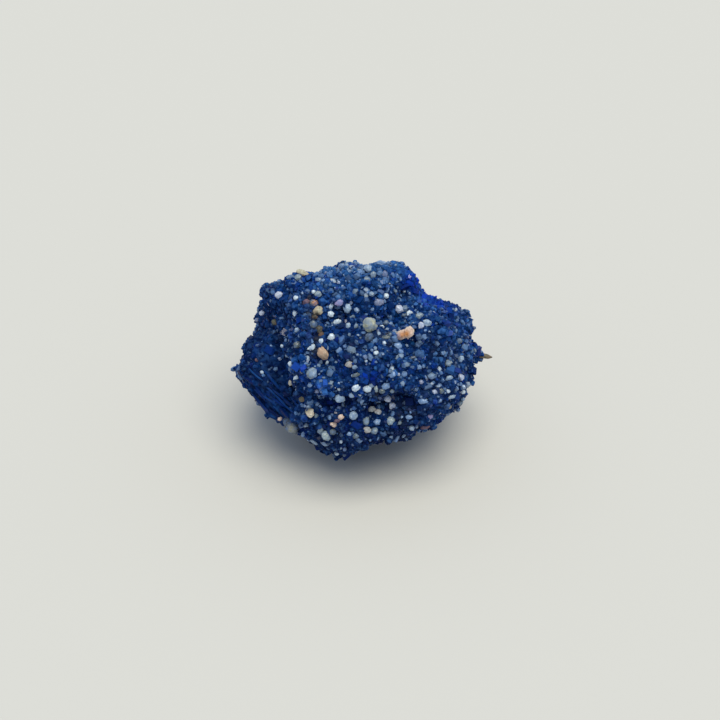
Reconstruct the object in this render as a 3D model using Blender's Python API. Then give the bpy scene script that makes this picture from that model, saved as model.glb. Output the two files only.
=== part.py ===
"""Azurite nodule: one lump of sand cemented by deep-blue azurite, lying on its worn seat.

Lengths are written in millimetres and turned into metres by MM. The nodule is shaped in a
frame of its own, the rim frame: x to the right, "up" along the rim, which leans back, and
"out" from the rim towards the front. The last step stands it on z = 0 with +Z up.
"""

import math
import random

import bmesh
import bpy
from mathutils import Matrix, Vector, noise
from mathutils.kdtree import KDTree
import numpy as np

MM = 0.001

# Driving dimensions, in millimetres and degrees.
RIM_LEAN = 38.0        # the widest outline leans back this far from upright
FRONT_DEPTH = 9.4      # how far the front swells out from the rim
BACK_DEPTH = 8.8       # how far the back swells out from the rim
SEAT_DROP = 8.7        # from the rim's centre down to the surface that the nodule rests on
BOX_SHIFT = (-0.33, 0.34)  # brings the middle of the whole nodule's box onto the origin
CRYSTAL_SPACING = 0.82  # the least distance between two crystal tips of the crust
CRYSTAL_RISE = 0.42    # the tallest tips stand this far above the form, and most far less
CRYSTAL_ROOT = 0.20    # the deepest gaps between crystals lie this far below it

# The rim: the nodule's widest outline, as (x, up) points round the rim's centre.
RIM_OUTLINE = [
    (12.0, 0.9), (11.4, 1.5), (10.8, 2.1), (11.3, 3.0), (10.7, 3.8), (9.7, 5.0),
    (8.7, 5.4), (7.4, 5.7), (6.1, 6.7), (5.1, 7.8), (4.5, 8.8), (3.5, 9.3),
    (2.1, 8.9), (0.6, 9.0), (-0.6, 9.2), (-1.7, 9.0), (-4.2, 8.5), (-5.9, 7.4),
    (-8.0, 7.4), (-9.1, 6.9), (-9.5, 6.1), (-9.2, 5.2), (-10.2, 3.8), (-9.8, 3.0),
    (-10.2, 2.2), (-11.1, 1.2), (-11.2, 0.4), (-12.2, -1.5), (-11.3, -2.4),
    (-9.0, -4.3), (-7.8, -5.3), (-6.6, -6.5), (-5.7, -7.5), (-3.2, -9.0),
    (-1.7, -9.5), (-0.9, -9.5), (0.2, -8.8), (2.6, -8.0), (4.8, -8.1), (5.7, -6.8),
    (8.0, -6.3), (9.3, -5.4), (10.0, -4.3), (10.5, -2.6), (11.3, -1.8), (11.2, -0.7),
    (11.6, 0.0),
]
CRUST_REACH = 0.42     # the tips of the crust stand this far outside the form, so the form lies inside
RIM_WINDOW = 13.0      # degrees each way over which the outline is evened out away from the rim
RIM_BAND = 17.0        # degrees of latitude over which the crisp outline fades into the even one
FULLNESS = 0.82        # 1 is an ellipsoid; less is squarer

# Large relief: name: (side, from (x, up), to (x, up), radius, rise). Side 1 is the front, -1 the back.
RELIEF = {
    "left_face":        (1, (-8.7, 2.2), (-7.9, -2.6), 2.6, -1.9),
    "left_crease":      (1, (-8.0, -0.4), (-7.0, -4.0), 1.0, -0.9),
    "left_ridge_top":   (1, (-4.4, 6.6), (-4.1, 2.4), 1.5, 0.9),
    "left_ridge_foot":  (1, (-4.2, 1.6), (-5.6, -4.8), 1.5, 0.8),
    "left_shelf":       (1, (-11.0, -1.7), (-6.8, -5.7), 0.9, 1.0),
    "upper_left_lobe":  (1, (-8.4, 6.0), (-7.0, 5.2), 1.9, 0.8),
    "lobe_gap":         (1, (-9.6, 3.3), (-6.8, 3.5), 0.9, -0.6),
    "crown":            (1, (-2.0, 7.0), (2.8, 7.6), 2.3, 0.9),
    "crown_foot":       (1, (-2.4, 3.9), (3.0, 4.1), 1.2, -0.7),
    "saddle":           (1, (7.2, 6.2), (4.0, 4.2), 1.3, -1.4),
    "right_lobe":       (1, (9.0, 3.2), (7.4, 2.9), 1.9, 0.9),
    "right_groove":     (1, (4.2, 0.9), (11.6, 0.8), 0.75, -0.9),
    "belly":            (1, (0.4, 1.2), (4.6, -1.3), 2.3, 0.8),
    "belly_pit":        (1, (-2.1, -0.3), (-1.5, -0.6), 0.8, -0.6),
    "lower_right_lobe": (1, (8.4, -2.9), (7.4, -3.8), 2.1, 0.8),
    "lower_left_pit":   (1, (-3.4, -4.5), (-1.6, -3.9), 0.9, -0.9),
    "lower_crease":     (1, (1.2, -5.1), (4.8, -4.2), 0.95, -1.1),
    "knee":             (1, (-4.9, -1.2), (-3.4, -2.6), 1.4, 0.7),
    "chin":             (1, (-2.6, -7.4), (1.6, -6.8), 1.5, 0.9),
    "under_jowl":       (1, (4.0, -6.6), (6.4, -6.0), 1.4, 0.7),
    "back_flat":        (-1, (-1.5, -1.0), (2.6, 2.4), 4.6, -1.5),
    "back_shoulder":    (-1, (-6.5, 4.6), (-2.4, 6.0), 2.3, 1.0),
    "back_cleft":       (-1, (1.8, 8.0), (3.2, 2.6), 1.0, -1.2),
    "back_lobe":        (-1, (8.2, 3.4), (8.0, 0.4), 2.2, 0.9),
    "back_ledge":       (-1, (-10.2, 0.4), (-3.6, -0.6), 0.9, 0.9),
    "back_hollow":      (-1, (-7.8, -2.6), (-4.8, -3.4), 1.4, -1.1),
    "back_pit":         (-1, (5.0, -2.4), (6.6, -2.8), 1.1, -1.0),
    "back_bar":         (-1, (-0.6, 2.8), (5.2, 0.4), 0.9, 0.8),
}
RELIEF_START = 9.0     # degrees from the rim over which the relief grows, so that the rim keeps its line
SWELL_SIZE = 4.2       # wavelength of the uneven swelling of the surface
SWELL_RISE = 0.75
KNOB_SIZE = 2.1        # spacing of the round knobs that clusters of grains make
KNOB_RISE = 1.0

# Grains large enough to stand out: name: (side, x, up, long, wide, turn in degrees, lift).
# Long and wide are whole widths. Lift is how far the grain's middle stands above the form.
LARGE_GRAINS = {
    "rust_grain":        (1, 4.2, 2.2, 1.7, 1.2, 25, 0.11),
    "milky_grain":       (1, 1.1, 2.9, 1.4, 1.3, 60, 0.06),
    "grey_grain":        (1, 1.0, 1.9, 1.2, 0.9, 10, -0.04),
    "tan_grain":         (1, -3.1, 0.5, 1.1, 0.9, -35, 0.11),
    "cream_grain":       (1, -4.5, -4.9, 1.1, 0.9, 70, 0.11),
    "pale_grain":        (1, -1.6, -3.6, 1.0, 0.9, 0, 0.06),
    "blue_grey_grain":   (1, -4.2, -1.2, 1.3, 1.0, 35, 0.06),
    "twin_grain_left":   (1, 5.7, 3.4, 1.1, 0.8, 20, 0.06),
    "twin_grain_right":  (1, 6.5, 3.1, 1.2, 0.9, -30, 0.06),
    "crown_grain":       (1, 1.8, 5.7, 1.0, 0.8, 80, 0.01),
    "brow_grain":        (1, -1.1, 4.5, 0.9, 0.8, 0, 0.06),
    "rose_grain":        (1, -1.9, 5.0, 0.9, 0.7, 30, 0.01),
    "seam_grain_top":    (1, -4.1, 5.1, 0.9, 0.9, 0, 0.06),
    "seam_grain_middle": (1, -4.0, 4.1, 1.1, 0.9, 45, 0.06),
    "seam_grain_foot":   (1, -4.3, 3.0, 1.1, 0.8, 80, 0.01),
    "lobe_grain":        (1, -7.5, 6.0, 0.9, 0.8, 20, 0.06),
    "edge_grain":        (1, -9.0, 4.4, 0.8, 0.7, 0, 0.06),
    "shelf_grain":       (1, -6.5, -6.2, 1.9, 1.5, 60, -0.09),
    "white_grain":       (1, -6.2, -2.0, 1.3, 0.6, 60, 0.06),
    "chin_grain":        (1, 0.4, -6.3, 1.0, 0.9, 15, 0.01),
    "pink_grain":        (1, -1.8, -6.0, 1.2, 0.7, 30, 0.06),
    "back_tan_grain":    (-1, -3.4, 2.6, 1.2, 1.0, 20, 0.11),
    "back_milky_grain":  (-1, 4.4, 4.6, 1.4, 1.1, 75, 0.11),
    "back_grey_grain":   (-1, 7.0, -1.0, 1.3, 1.0, 10, 0.06),
    "back_rust_grain":   (-1, -6.4, 0.8, 1.1, 0.9, 50, 0.11),
    "back_cream_grain":  (-1, 0.6, 0.6, 1.0, 0.9, 0, 0.11),
}
# Blades and slabs that lie along the surface: name: (side, from (x, up), to (x, up), width, lift).
BLADES = {
    "shelf_outer":       (1, (-11.3, -2.2), (-8.1, -5.1), 0.55, 0.25),
    "shelf_middle":      (1, (-10.4, -1.9), (-7.3, -5.0), 0.50, 0.30),
    "shelf_inner":       (1, (-9.7, -1.4), (-6.9, -4.3), 0.45, 0.25),
    "saddle_crystal":    (1, (4.7, 7.3), (6.5, 5.9), 1.30, 0.25),
    "saddle_crystal_2":  (1, (6.1, 6.3), (7.3, 5.2), 0.90, 0.20),
    "belly_crystal":     (1, (-0.5, -1.3), (0.6, -2.0), 0.80, 0.20),
    "crown_crystal":     (1, (-3.6, 7.6), (-2.3, 7.9), 0.80, 0.20),
    "back_crystal":      (-1, (-3.2, 5.2), (-1.6, 4.4), 1.10, 0.25),
    "back_slab":         (-1, (3.6, -1.2), (6.6, -0.4), 0.80, 0.25),
    "back_slab_2":       (-1, (-7.4, 2.6), (-5.0, 3.3), 0.70, 0.25),
}
SPUR_BASE = (10.2, 0.35, -0.1)  # a thorn-like sliver of sandstone on the right edge: x, up, out
SPUR_TIP = (12.65, 0.1, 0.4)
SPUR_RADII = (1.0, 0.10)

SLIVER = 0.012         # corners nearer than this where grains meet the crust become one
SEAT_WEAR = 0.5        # the crust is worn smooth over this height above the seat
FRESH_SEED = 31
COLOURS = {"azurite": (0.012, 0.045, 0.21)}


def rim_table():
    """The outline's radius at every degree, crisp and evened out."""
    turn = [math.atan2(up, x) for x, up in RIM_OUTLINE]
    reach = [math.hypot(x, up) - CRUST_REACH for x, up in RIM_OUTLINE]
    degrees = np.radians(np.arange(360))
    crisp = np.interp(degrees, turn, reach, period=2 * math.pi)
    steps = np.arange(-3 * RIM_WINDOW, 3 * RIM_WINDOW + 1).astype(int)
    share = np.exp(-((steps / RIM_WINDOW) ** 2))
    even = sum(w * np.roll(crisp, s) for s, w in zip(steps, share)) / share.sum()
    return crisp, even


CRISP_RIM, EVEN_RIM = rim_table()


def form_point(direction):
    """A direction from the rim's centre to its point on the plain form, in the rim frame."""
    across = math.hypot(direction.x, direction.y)
    turn = math.degrees(math.atan2(direction.y, direction.x)) % 360
    latitude = math.degrees(math.atan2(direction.z, across))
    crisp = np.interp(turn, range(360), CRISP_RIM, period=360)
    even = np.interp(turn, range(360), EVEN_RIM, period=360)
    nearness = math.exp(-((latitude / RIM_BAND) ** 2))
    reach = (even + (crisp - even) * nearness) * across**FULLNESS
    depth = FRONT_DEPTH if direction.z > 0 else -BACK_DEPTH
    turn = math.radians(turn)
    return Vector((reach * math.cos(turn), reach * math.sin(turn), depth * abs(direction.z) ** FULLNESS))


def spot(side, x, up):
    """The point of the plain form in front of (side 1) or behind (side -1) a point of the rim's plane."""
    turn = math.degrees(math.atan2(up, x)) % 360
    share = math.hypot(x, up) / np.interp(turn, range(360), EVEN_RIM, period=360)
    across = min(share, 1.0) ** (1 / FULLNESS)
    rise = math.sqrt(1 - across**2) ** FULLNESS
    return Vector((x, up, rise * (FRONT_DEPTH if side > 0 else -BACK_DEPTH)))


RELIEF_LINES = [
    (spot(side, *start), spot(side, *end), radius, rise)
    for side, start, end, radius, rise in RELIEF.values()
]


def distance_to_line(point, start, end):
    along = end - start
    share = (point - start).dot(along) / along.length_squared
    return (point - start - along * min(max(share, 0), 1)).length


def relief_at(point):
    """How far the surface stands above the plain form at a point of it."""
    rise = sum(
        height * math.exp(-((distance_to_line(point, start, end) / radius) ** 2))
        for start, end, radius, height in RELIEF_LINES
    )
    rise += SWELL_RISE * noise.noise(point / SWELL_SIZE)
    latitude = math.degrees(math.atan2(point.z, math.hypot(point.x, point.y)))
    rise *= 1 - math.exp(-((latitude / RELIEF_START) ** 2))
    nearest = noise.voronoi(point / KNOB_SIZE)[0][0]
    return rise + KNOB_RISE * (0.5 - nearest)


def surface_point(direction):
    point = form_point(direction)
    return point + point.normalized() * relief_at(point)


def to_world():
    """The matrix from the rim frame in millimetres to metres, standing on the seat at z = 0."""
    lean = math.radians(RIM_LEAN)
    columns = Matrix((
        (1, 0, 0),
        (0, math.sin(lean), -math.cos(lean)),
        (0, math.cos(lean), math.sin(lean)),
    ))
    return Matrix.Scale(MM, 4) @ Matrix.Translation((*BOX_SHIFT, SEAT_DROP)) @ columns.to_4x4()


def scattered_directions(chance):
    """Directions whose surface points keep CRYSTAL_SPACING apart, in a random, even scatter."""
    cells = {}
    kept = []
    for _ in range(60000):
        z = chance.uniform(-1, 1)
        turn = chance.uniform(0, 2 * math.pi)
        across = math.sqrt(1 - z * z)
        direction = Vector((across * math.cos(turn), across * math.sin(turn), z))
        point = form_point(direction)
        cell = tuple(int(c // CRYSTAL_SPACING) for c in point)
        near = (
            other
            for i in (-1, 0, 1) for j in (-1, 0, 1) for k in (-1, 0, 1)
            for other in cells.get((cell[0] + i, cell[1] + j, cell[2] + k), ())
        )
        if all((point - other).length > CRYSTAL_SPACING for other in near):
            cells.setdefault(cell, []).append(point)
            kept.append(direction)
    return kept


def crust_mesh(chance):
    """One closed mesh: a pointed, flat-faced crystal for each scattered direction."""
    bm = bmesh.new()
    for direction in scattered_directions(chance):
        bm.verts.new(direction)
    bmesh.ops.convex_hull(bm, input=bm.verts)
    tips = set(bm.verts)
    tip_to_tip = list(bm.edges)
    bmesh.ops.poke(bm, faces=bm.faces)
    bmesh.ops.rotate_edges(bm, edges=tip_to_tip)  # now each tip has only gaps round it
    stand = to_world()
    for vert in bm.verts:
        point = surface_point(vert.co.normalized())
        height = (stand @ point).z / MM
        crispness = min(max(height / SEAT_WEAR, 0), 1)
        step = CRYSTAL_RISE * chance.random() ** 2 if vert in tips else -CRYSTAL_ROOT * chance.random()
        vert.co = stand @ (point + point.normalized() * step * crispness)
    bmesh.ops.recalc_face_normals(bm, faces=bm.faces)
    return bm


def cut_seat(bm):
    """Cuts the underside off flat where the nodule rests."""
    everything = bm.verts[:] + bm.edges[:] + bm.faces[:]
    cut = bmesh.ops.bisect_plane(bm, geom=everything, plane_co=(0, 0, 0), plane_no=(0, 0, -1), clear_outer=True)
    edges = [e for e in cut["geom_cut"] if isinstance(e, bmesh.types.BMEdge)]
    bmesh.ops.holes_fill(bm, edges=edges)
    bmesh.ops.recalc_face_normals(bm, faces=bm.faces)


def new_object(name, bm, collection):
    mesh = bpy.data.meshes.new(name)
    bm.to_mesh(mesh)
    bm.free()
    obj = bpy.data.objects.new(name, mesh)
    collection.objects.link(obj)
    return obj


def add_grain(bm, chance, matrix, radii, corners=13):
    """A convex grain with flat faces, its corners scattered over an ellipsoid."""
    verts = []
    for i in range(corners):
        z = 1 - 2 * (i + 0.5) / corners
        turn = i * 2.39996 + chance.uniform(-0.4, 0.4)
        across = math.sqrt(1 - z * z)
        corner = Vector((across * math.cos(turn), across * math.sin(turn), z))
        corner = Vector(c * r * chance.uniform(0.88, 1.06) for c, r in zip(corner, radii))
        verts.append(bm.verts.new(matrix @ corner))
    bmesh.ops.convex_hull(bm, input=verts)


def large_grains(collection, chance):
    """Every large grain as an object of its own, to be joined to the crust."""
    stand = to_world()
    for name, (side, x, up, long, wide, turn, lift) in LARGE_GRAINS.items():
        middle = on_surface(side, x, up, lift)
        facing = middle.to_track_quat("Z", "Y").to_matrix().to_4x4()
        place = Matrix.Translation(middle) @ facing @ Matrix.Rotation(math.radians(turn), 4, "Z")
        bm = bmesh.new()
        add_grain(bm, chance, stand @ place, (long / 2, wide / 2, 0.45 * wide + 0.15))
        hide(new_object(name, bm, collection))


def on_surface(side, x, up, lift=0.0):
    middle = spot(side, x, up)
    return middle + middle.normalized() * (relief_at(middle) + lift)


def blades(collection, chance):
    """Every blade as a thin flat-faced bar whose ends taper, sunk a little into the crust."""
    for name, (side, start, end, width, lift) in BLADES.items():
        start, end = on_surface(side, *start), on_surface(side, *end)
        along = (end - start).normalized()
        out = ((start + end) / 2).normalized()
        aside = along.cross(out).normalized()
        bm = bmesh.new()
        for share, size in ((0.0, 0.35), (0.14, 1.0), (0.88, 0.95), (1.0, 0.3)):
            middle = start.lerp(end, share) + out * (lift - 0.3)
            for side_way, height in ((-0.5, -0.7), (-0.42, 0.3), (0.5, 0.22), (0.45, -0.7)):
                jolt = chance.uniform(0.9, 1.1) * size
                bm.verts.new(middle + aside * side_way * width * jolt + out * height * jolt)
        bmesh.ops.convex_hull(bm, input=bm.verts)
        bm.transform(to_world())
        hide(new_object(name, bm, collection))


def spur(collection):
    """The thorn on the right edge: a tapered six-sided sliver."""
    base, tip = Vector(SPUR_BASE), Vector(SPUR_TIP)
    bm = bmesh.new()
    bmesh.ops.create_cone(
        bm, segments=6, cap_ends=True, radius1=SPUR_RADII[0], radius2=SPUR_RADII[1], depth=(tip - base).length
    )
    turn = (tip - base).to_track_quat("Z", "Y").to_matrix().to_4x4()
    bm.transform(to_world() @ Matrix.Translation((base + tip) / 2) @ turn)
    hide(new_object("spur", bm, collection))


def hide(obj):
    obj.hide_render = True
    obj.display_type = "WIRE"


def azurite_material():
    material = bpy.data.materials.new("azurite")
    material.use_nodes = True
    shader = material.node_tree.nodes["Principled BSDF"]
    shader.inputs["Base Color"].default_value = (*COLOURS["azurite"], 1)
    shader.inputs["Roughness"].default_value = 0.38
    shader.inputs["Metallic"].default_value = 0.0
    return material


def main():
    for obj in list(bpy.data.objects):
        bpy.data.objects.remove(obj)
    chance = random.Random(FRESH_SEED)
    nodule_parts = bpy.data.collections.new("azurite_specimen")
    joined_grains = bpy.data.collections.new("joined_grains")
    for collection in (nodule_parts, joined_grains):
        bpy.context.scene.collection.children.link(collection)

    crust = crust_mesh(chance)
    cut_seat(crust)
    nodule = new_object("azurite_nodule", crust, nodule_parts)
    nodule.data.materials.append(azurite_material())
    large_grains(joined_grains, chance)
    blades(joined_grains, chance)
    spur(joined_grains)
    union = nodule.modifiers.new("grains", "BOOLEAN")
    union.operation = "UNION"
    union.operand_type = "COLLECTION"
    union.collection = joined_grains
    union.solver = "EXACT"
    weld = nodule.modifiers.new("slivers", "WELD")
    weld.merge_threshold = SLIVER * MM


main()
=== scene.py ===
"""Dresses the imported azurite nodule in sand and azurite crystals, and sets the floor, light and camera."""

from functools import cache
import math
import random

import bmesh
import bpy
from mathutils import Matrix, Vector, kdtree, noise
from mathutils.bvhtree import BVHTree
import numpy as np


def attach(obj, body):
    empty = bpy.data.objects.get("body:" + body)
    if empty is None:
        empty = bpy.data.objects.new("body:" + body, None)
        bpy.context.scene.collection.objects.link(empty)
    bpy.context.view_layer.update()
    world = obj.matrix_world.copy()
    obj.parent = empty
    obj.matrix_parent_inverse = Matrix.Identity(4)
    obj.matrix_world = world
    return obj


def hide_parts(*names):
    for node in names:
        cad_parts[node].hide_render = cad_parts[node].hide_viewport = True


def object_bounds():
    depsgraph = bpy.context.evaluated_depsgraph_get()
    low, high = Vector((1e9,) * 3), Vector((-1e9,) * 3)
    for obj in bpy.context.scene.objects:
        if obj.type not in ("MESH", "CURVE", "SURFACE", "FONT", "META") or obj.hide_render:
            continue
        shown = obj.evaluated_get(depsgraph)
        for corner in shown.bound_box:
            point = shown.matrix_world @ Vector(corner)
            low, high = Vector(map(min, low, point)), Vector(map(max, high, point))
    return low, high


bl_info = {
    "name": "Azurite Nodule",
    "version": (1, 0, 0),
    "blender": (4, 5, 0),
    "location": "3D View > Sidebar > Azurite",
    "description": "Builds a nodule of sand cemented by azurite over its packed solid",
    "category": "Object",
}

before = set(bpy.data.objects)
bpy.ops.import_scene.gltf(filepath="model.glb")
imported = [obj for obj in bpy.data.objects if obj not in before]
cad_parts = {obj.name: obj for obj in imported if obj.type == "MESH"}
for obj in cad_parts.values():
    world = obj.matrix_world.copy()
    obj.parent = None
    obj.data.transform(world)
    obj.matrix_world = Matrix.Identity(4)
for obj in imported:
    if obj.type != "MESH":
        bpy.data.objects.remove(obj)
CAD_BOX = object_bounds()

MM = 0.001
BODY = "root"
SOLID = "azurite_nodule"

# The camera's frame: its side in pixels, its sensor's width in mm, and the place on the rim that it aims at.
FRAME_SIDE, SENSOR = 720, 36.0
AIM = Vector((0.19, -0.19, 0))
# The nodule's middle in that frame, and the millimetres that a pixel spans there.
MIDDLE_PIXEL, PIXEL_SPAN = 358, 0.095
# The angle between one point and the next, for points spread evenly over a ball.
GOLDEN_ANGLE = 2.39996

# The nodule's widest outline, the rim, leans back. Places on it are (x, up) in millimetres from
# its centre, on the front (side 1) or the back (side -1).
RIM_CENTRE = Vector((-0.33, 0.34, 8.7)) * MM
RIM_LEAN = math.radians(38)
RIM_AXES = Matrix((
    (1, 0, 0),
    (0, math.sin(RIM_LEAN), math.cos(RIM_LEAN)),
    (0, -math.cos(RIM_LEAN), math.sin(RIM_LEAN)),
))

# Where sand shows more or less than elsewhere: name: (side, from, to, radius, added share).
SAND_PLACES = {
    "left_face": (1, (-9.6, 3.0), (-8.0, -3.4), 2.8, -0.17),
    "left_shelf": (1, (-11.5, -1.5), (-7.0, -5.5), 1.5, -0.18),
    "upper_left_lobe": (1, (-8.4, 6.4), (-7.0, 4.6), 2.6, -0.15),
    "saddle": (1, (5.2, 7.4), (7.0, 5.6), 1.2, -0.22),
    "crown": (1, (-1.0, 7.6), (3.6, 7.6), 2.0, 0.17),
    "belly": (1, (-3.0, 2.0), (3.6, -2.0), 3.4, 0.02),
    "twin_grains": (1, (3.4, 2.2), (7.0, 3.4), 1.5, 0.12),
    "lower_right": (1, (8.6, -1.5), (5.5, -6.0), 2.4, -0.03),
    "right_lobe": (1, (8.0, 4.0), (10.4, 2.0), 2.0, -0.10),
    "knee": (1, (-5.0, -0.4), (-3.4, -2.4), 1.6, 0.15),
    "band": (1, (0.8, -0.2), (6.0, -0.8), 1.2, 0.15),
    "hollow": (1, (1.2, -3.4), (4.8, -4.6), 1.5, 0.04),
    "back_patch": (-1, (3.0, 4.0), (6.0, -2.0), 3.0, 0.16),
    "back_seam": (-1, (-3.0, 6.0), (-1.0, -4.0), 1.2, 0.20),
    "back_bare": (-1, (-8.0, 0.0), (-4.0, -5.0), 2.6, -0.14),
    "back_crown": (-1, (1.0, 7.0), (4.0, 7.0), 1.8, -0.12),
}
# Where the azurite is paler (above 0) or deeper (below 0), in the same way. Some of it is the azurite's own
# tone and some is painted light and shade: painted highlight on the crown at the top and along the band,
# painted shade on the left face, at the ridge's foot, in the hollows, under the chin and in the hollow on the
# back.
TONE_LIGHT_AND_SHADE_PLACES = {
    "left_face": (1, (-9.6, 3.0), (-8.0, -3.4), 2.8, -0.20),
    "ridge_foot": (1, (-8.2, 1.4), (-7.2, -4.0), 0.9, -0.16),
    "left_shelf": (1, (-11.5, -1.5), (-7.0, -5.5), 1.5, 0.0),
    "crown": (1, (-2.0, 7.6), (3.2, 8.2), 2.2, 0.42),
    "right_lobe": (1, (7.0, 3.6), (9.6, 3.6), 2.4, 0.10),
    "saddle": (1, (5.0, 7.0), (7.2, 5.6), 0.8, 0.14),
    "saddle_foot": (1, (5.0, 5.2), (6.8, 5.0), 0.6, 0.30),
    "band": (1, (0.6, -0.4), (4.6, -0.6), 1.2, 0.14),
    "azure": (1, (-3.6, -2.0), (-2.9, -2.5), 0.6, 0.40),
    "violet": (1, (-5.4, -0.9), (-4.9, -1.0), 0.5, 0.25),
    "knee": (1, (-5.6, -0.6), (-3.6, -2.6), 1.4, 0.10),
    "hollow": (1, (-3.6, -4.4), (4.8, -4.4), 1.2, -0.26),
    "chin": (1, (-3.0, -8.0), (4.0, -7.6), 2.0, -0.50),
    "back_swell": (-1, (3.0, 3.0), (6.0, 0.0), 2.4, 0.16),
    "back_hollow": (-1, (-4.0, 1.0), (-2.0, -4.0), 1.8, -0.20),
}
# Where the azurite is at its purest and most vivid, in the same way.
VIVID_PLACES = {
    "saddle": (1, (4.9, 7.3), (7.4, 5.2), 0.95, 1.20),
    "saddle_foot": (1, (6.4, 5.8), (8.6, 4.8), 0.8, 0.50),
    "knee": (1, (-5.6, -0.6), (-4.2, -1.4), 0.9, 0.25),
    "hip": (1, (-3.0, -3.0), (-2.8, -4.8), 0.8, 0.35),
    "belly": (1, (0.0, -1.8), (1.4, -1.6), 0.9, 0.50),
    "azure": (1, (-3.6, -2.0), (-2.9, -2.5), 0.5, 0.30),
    "violet": (1, (-5.4, -0.9), (-4.9, -1.0), 0.4, 0.35),
    "upper_left": (1, (-5.6, 7.4), (-3.0, 6.6), 1.3, 0.30),
    "chin": (1, (-1.6, -6.4), (0.2, -6.8), 0.9, 0.30),
    "edge": (1, (10.6, 1.6), (11.2, 0.2), 0.8, 0.35),
    "back_ridge": (-1, (-6.0, 4.0), (-2.0, 2.0), 1.4, 0.45),
    "back_low": (-1, (2.0, -5.0), (5.0, -5.0), 1.3, 0.40),
}
# Where earthy grey-brown dust lies between the grains, in the same way.
EARTH_PLACES = {
    "seam": (1, (-4.3, 5.4), (-3.6, 0.9), 0.55, 0.95),
    "seam_foot": (1, (-3.3, 1.2), (-3.7, 0.2), 0.5, 0.6),
    "belly": (1, (-0.6, 0.9), (-0.2, -0.6), 0.65, 0.6),
    "milky_foot": (1, (0.8, 2.2), (2.8, 1.8), 0.55, 0.7),
    "rust_side": (1, (2.6, 1.9), (3.8, 0.6), 0.6, 0.5),
    "hollow": (1, (1.6, -2.8), (4.4, -4.4), 0.8, 0.7),
    "right": (1, (7.0, 0.8), (8.6, 0.2), 0.8, 0.45),
    "lower_right": (1, (8.6, -1.4), (6.8, -2.4), 1.0, 0.45),
    "lower_edge": (1, (6.4, -3.4), (4.0, -6.0), 1.0, 0.35),
    "column": (1, (-1.2, 4.6), (-1.6, 3.0), 0.5, 0.4),
    "chin": (1, (-3.4, -6.6), (0.4, -7.6), 0.8, 0.35),
    "back_seam": (-1, (-3.0, 5.0), (-1.0, -3.0), 0.9, 0.7),
    "back_patch": (-1, (3.4, 2.0), (6.0, -1.0), 1.2, 0.5),
}
# Hollows between the lobes: name: (pixel x, pixel y, radius and depth in mm).
PITS = {
    "deep_pit": (400, 399, 0.90, 0.75),
    "deep_pit_left": (385, 407, 0.65, 0.50),
    "low_pit": (345, 403, 0.60, 0.50),
    "hip_pit": (324, 402, 0.75, 0.50),
    "belly_pit": (337, 360, 0.60, 0.40),
    "column_pit": (345, 315, 0.60, 0.40),
    "seam_pit": (318, 338, 0.55, 0.35),
    "right_pit": (437, 353, 0.70, 0.50),
    "crown_pit": (405, 294, 0.90, 0.60),
    "chin_pit": (351, 427, 0.80, 0.60),
    "chin_pit_right": (383, 428, 0.65, 0.50),
    "heel_pit": (322, 424, 0.65, 0.50),
    "rust_pit": (391, 347, 0.60, 0.35),
    "face_pit": (279, 372, 1.00, 0.40),
    "foot_pit": (407, 425, 0.60, 0.40),
}
# Where the azurite is massive and smooth, with few grains on it, in the same way as the sand.
SMOOTH_PLACES = {
    "left_face": (1, (-9.2, 1.8), (-7.4, -3.4), 1.9, 0.85),
    "left_shelf": (1, (-11.5, -2.0), (-6.9, -6.0), 1.3, 0.82),
    "saddle": (1, (4.5, 8.0), (6.8, 5.9), 0.85, 0.85),
    "right_edge": (1, (11.0, 1.6), (11.6, 0.4), 0.7, 0.7),
    "back_left": (-1, (-8.0, 1.0), (-5.0, -3.0), 2.0, 0.75),
    "back_crown": (-1, (1.0, 7.0), (4.0, 6.6), 1.4, 0.7),
}
# The ledges run side by side along this line, from the nodule's left corner to its foot.
LEDGE_START, LEDGE_END, LEDGE_SPACING = Vector((-12.1, -1.4)), Vector((-7.0, -6.2)), 0.82
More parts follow.
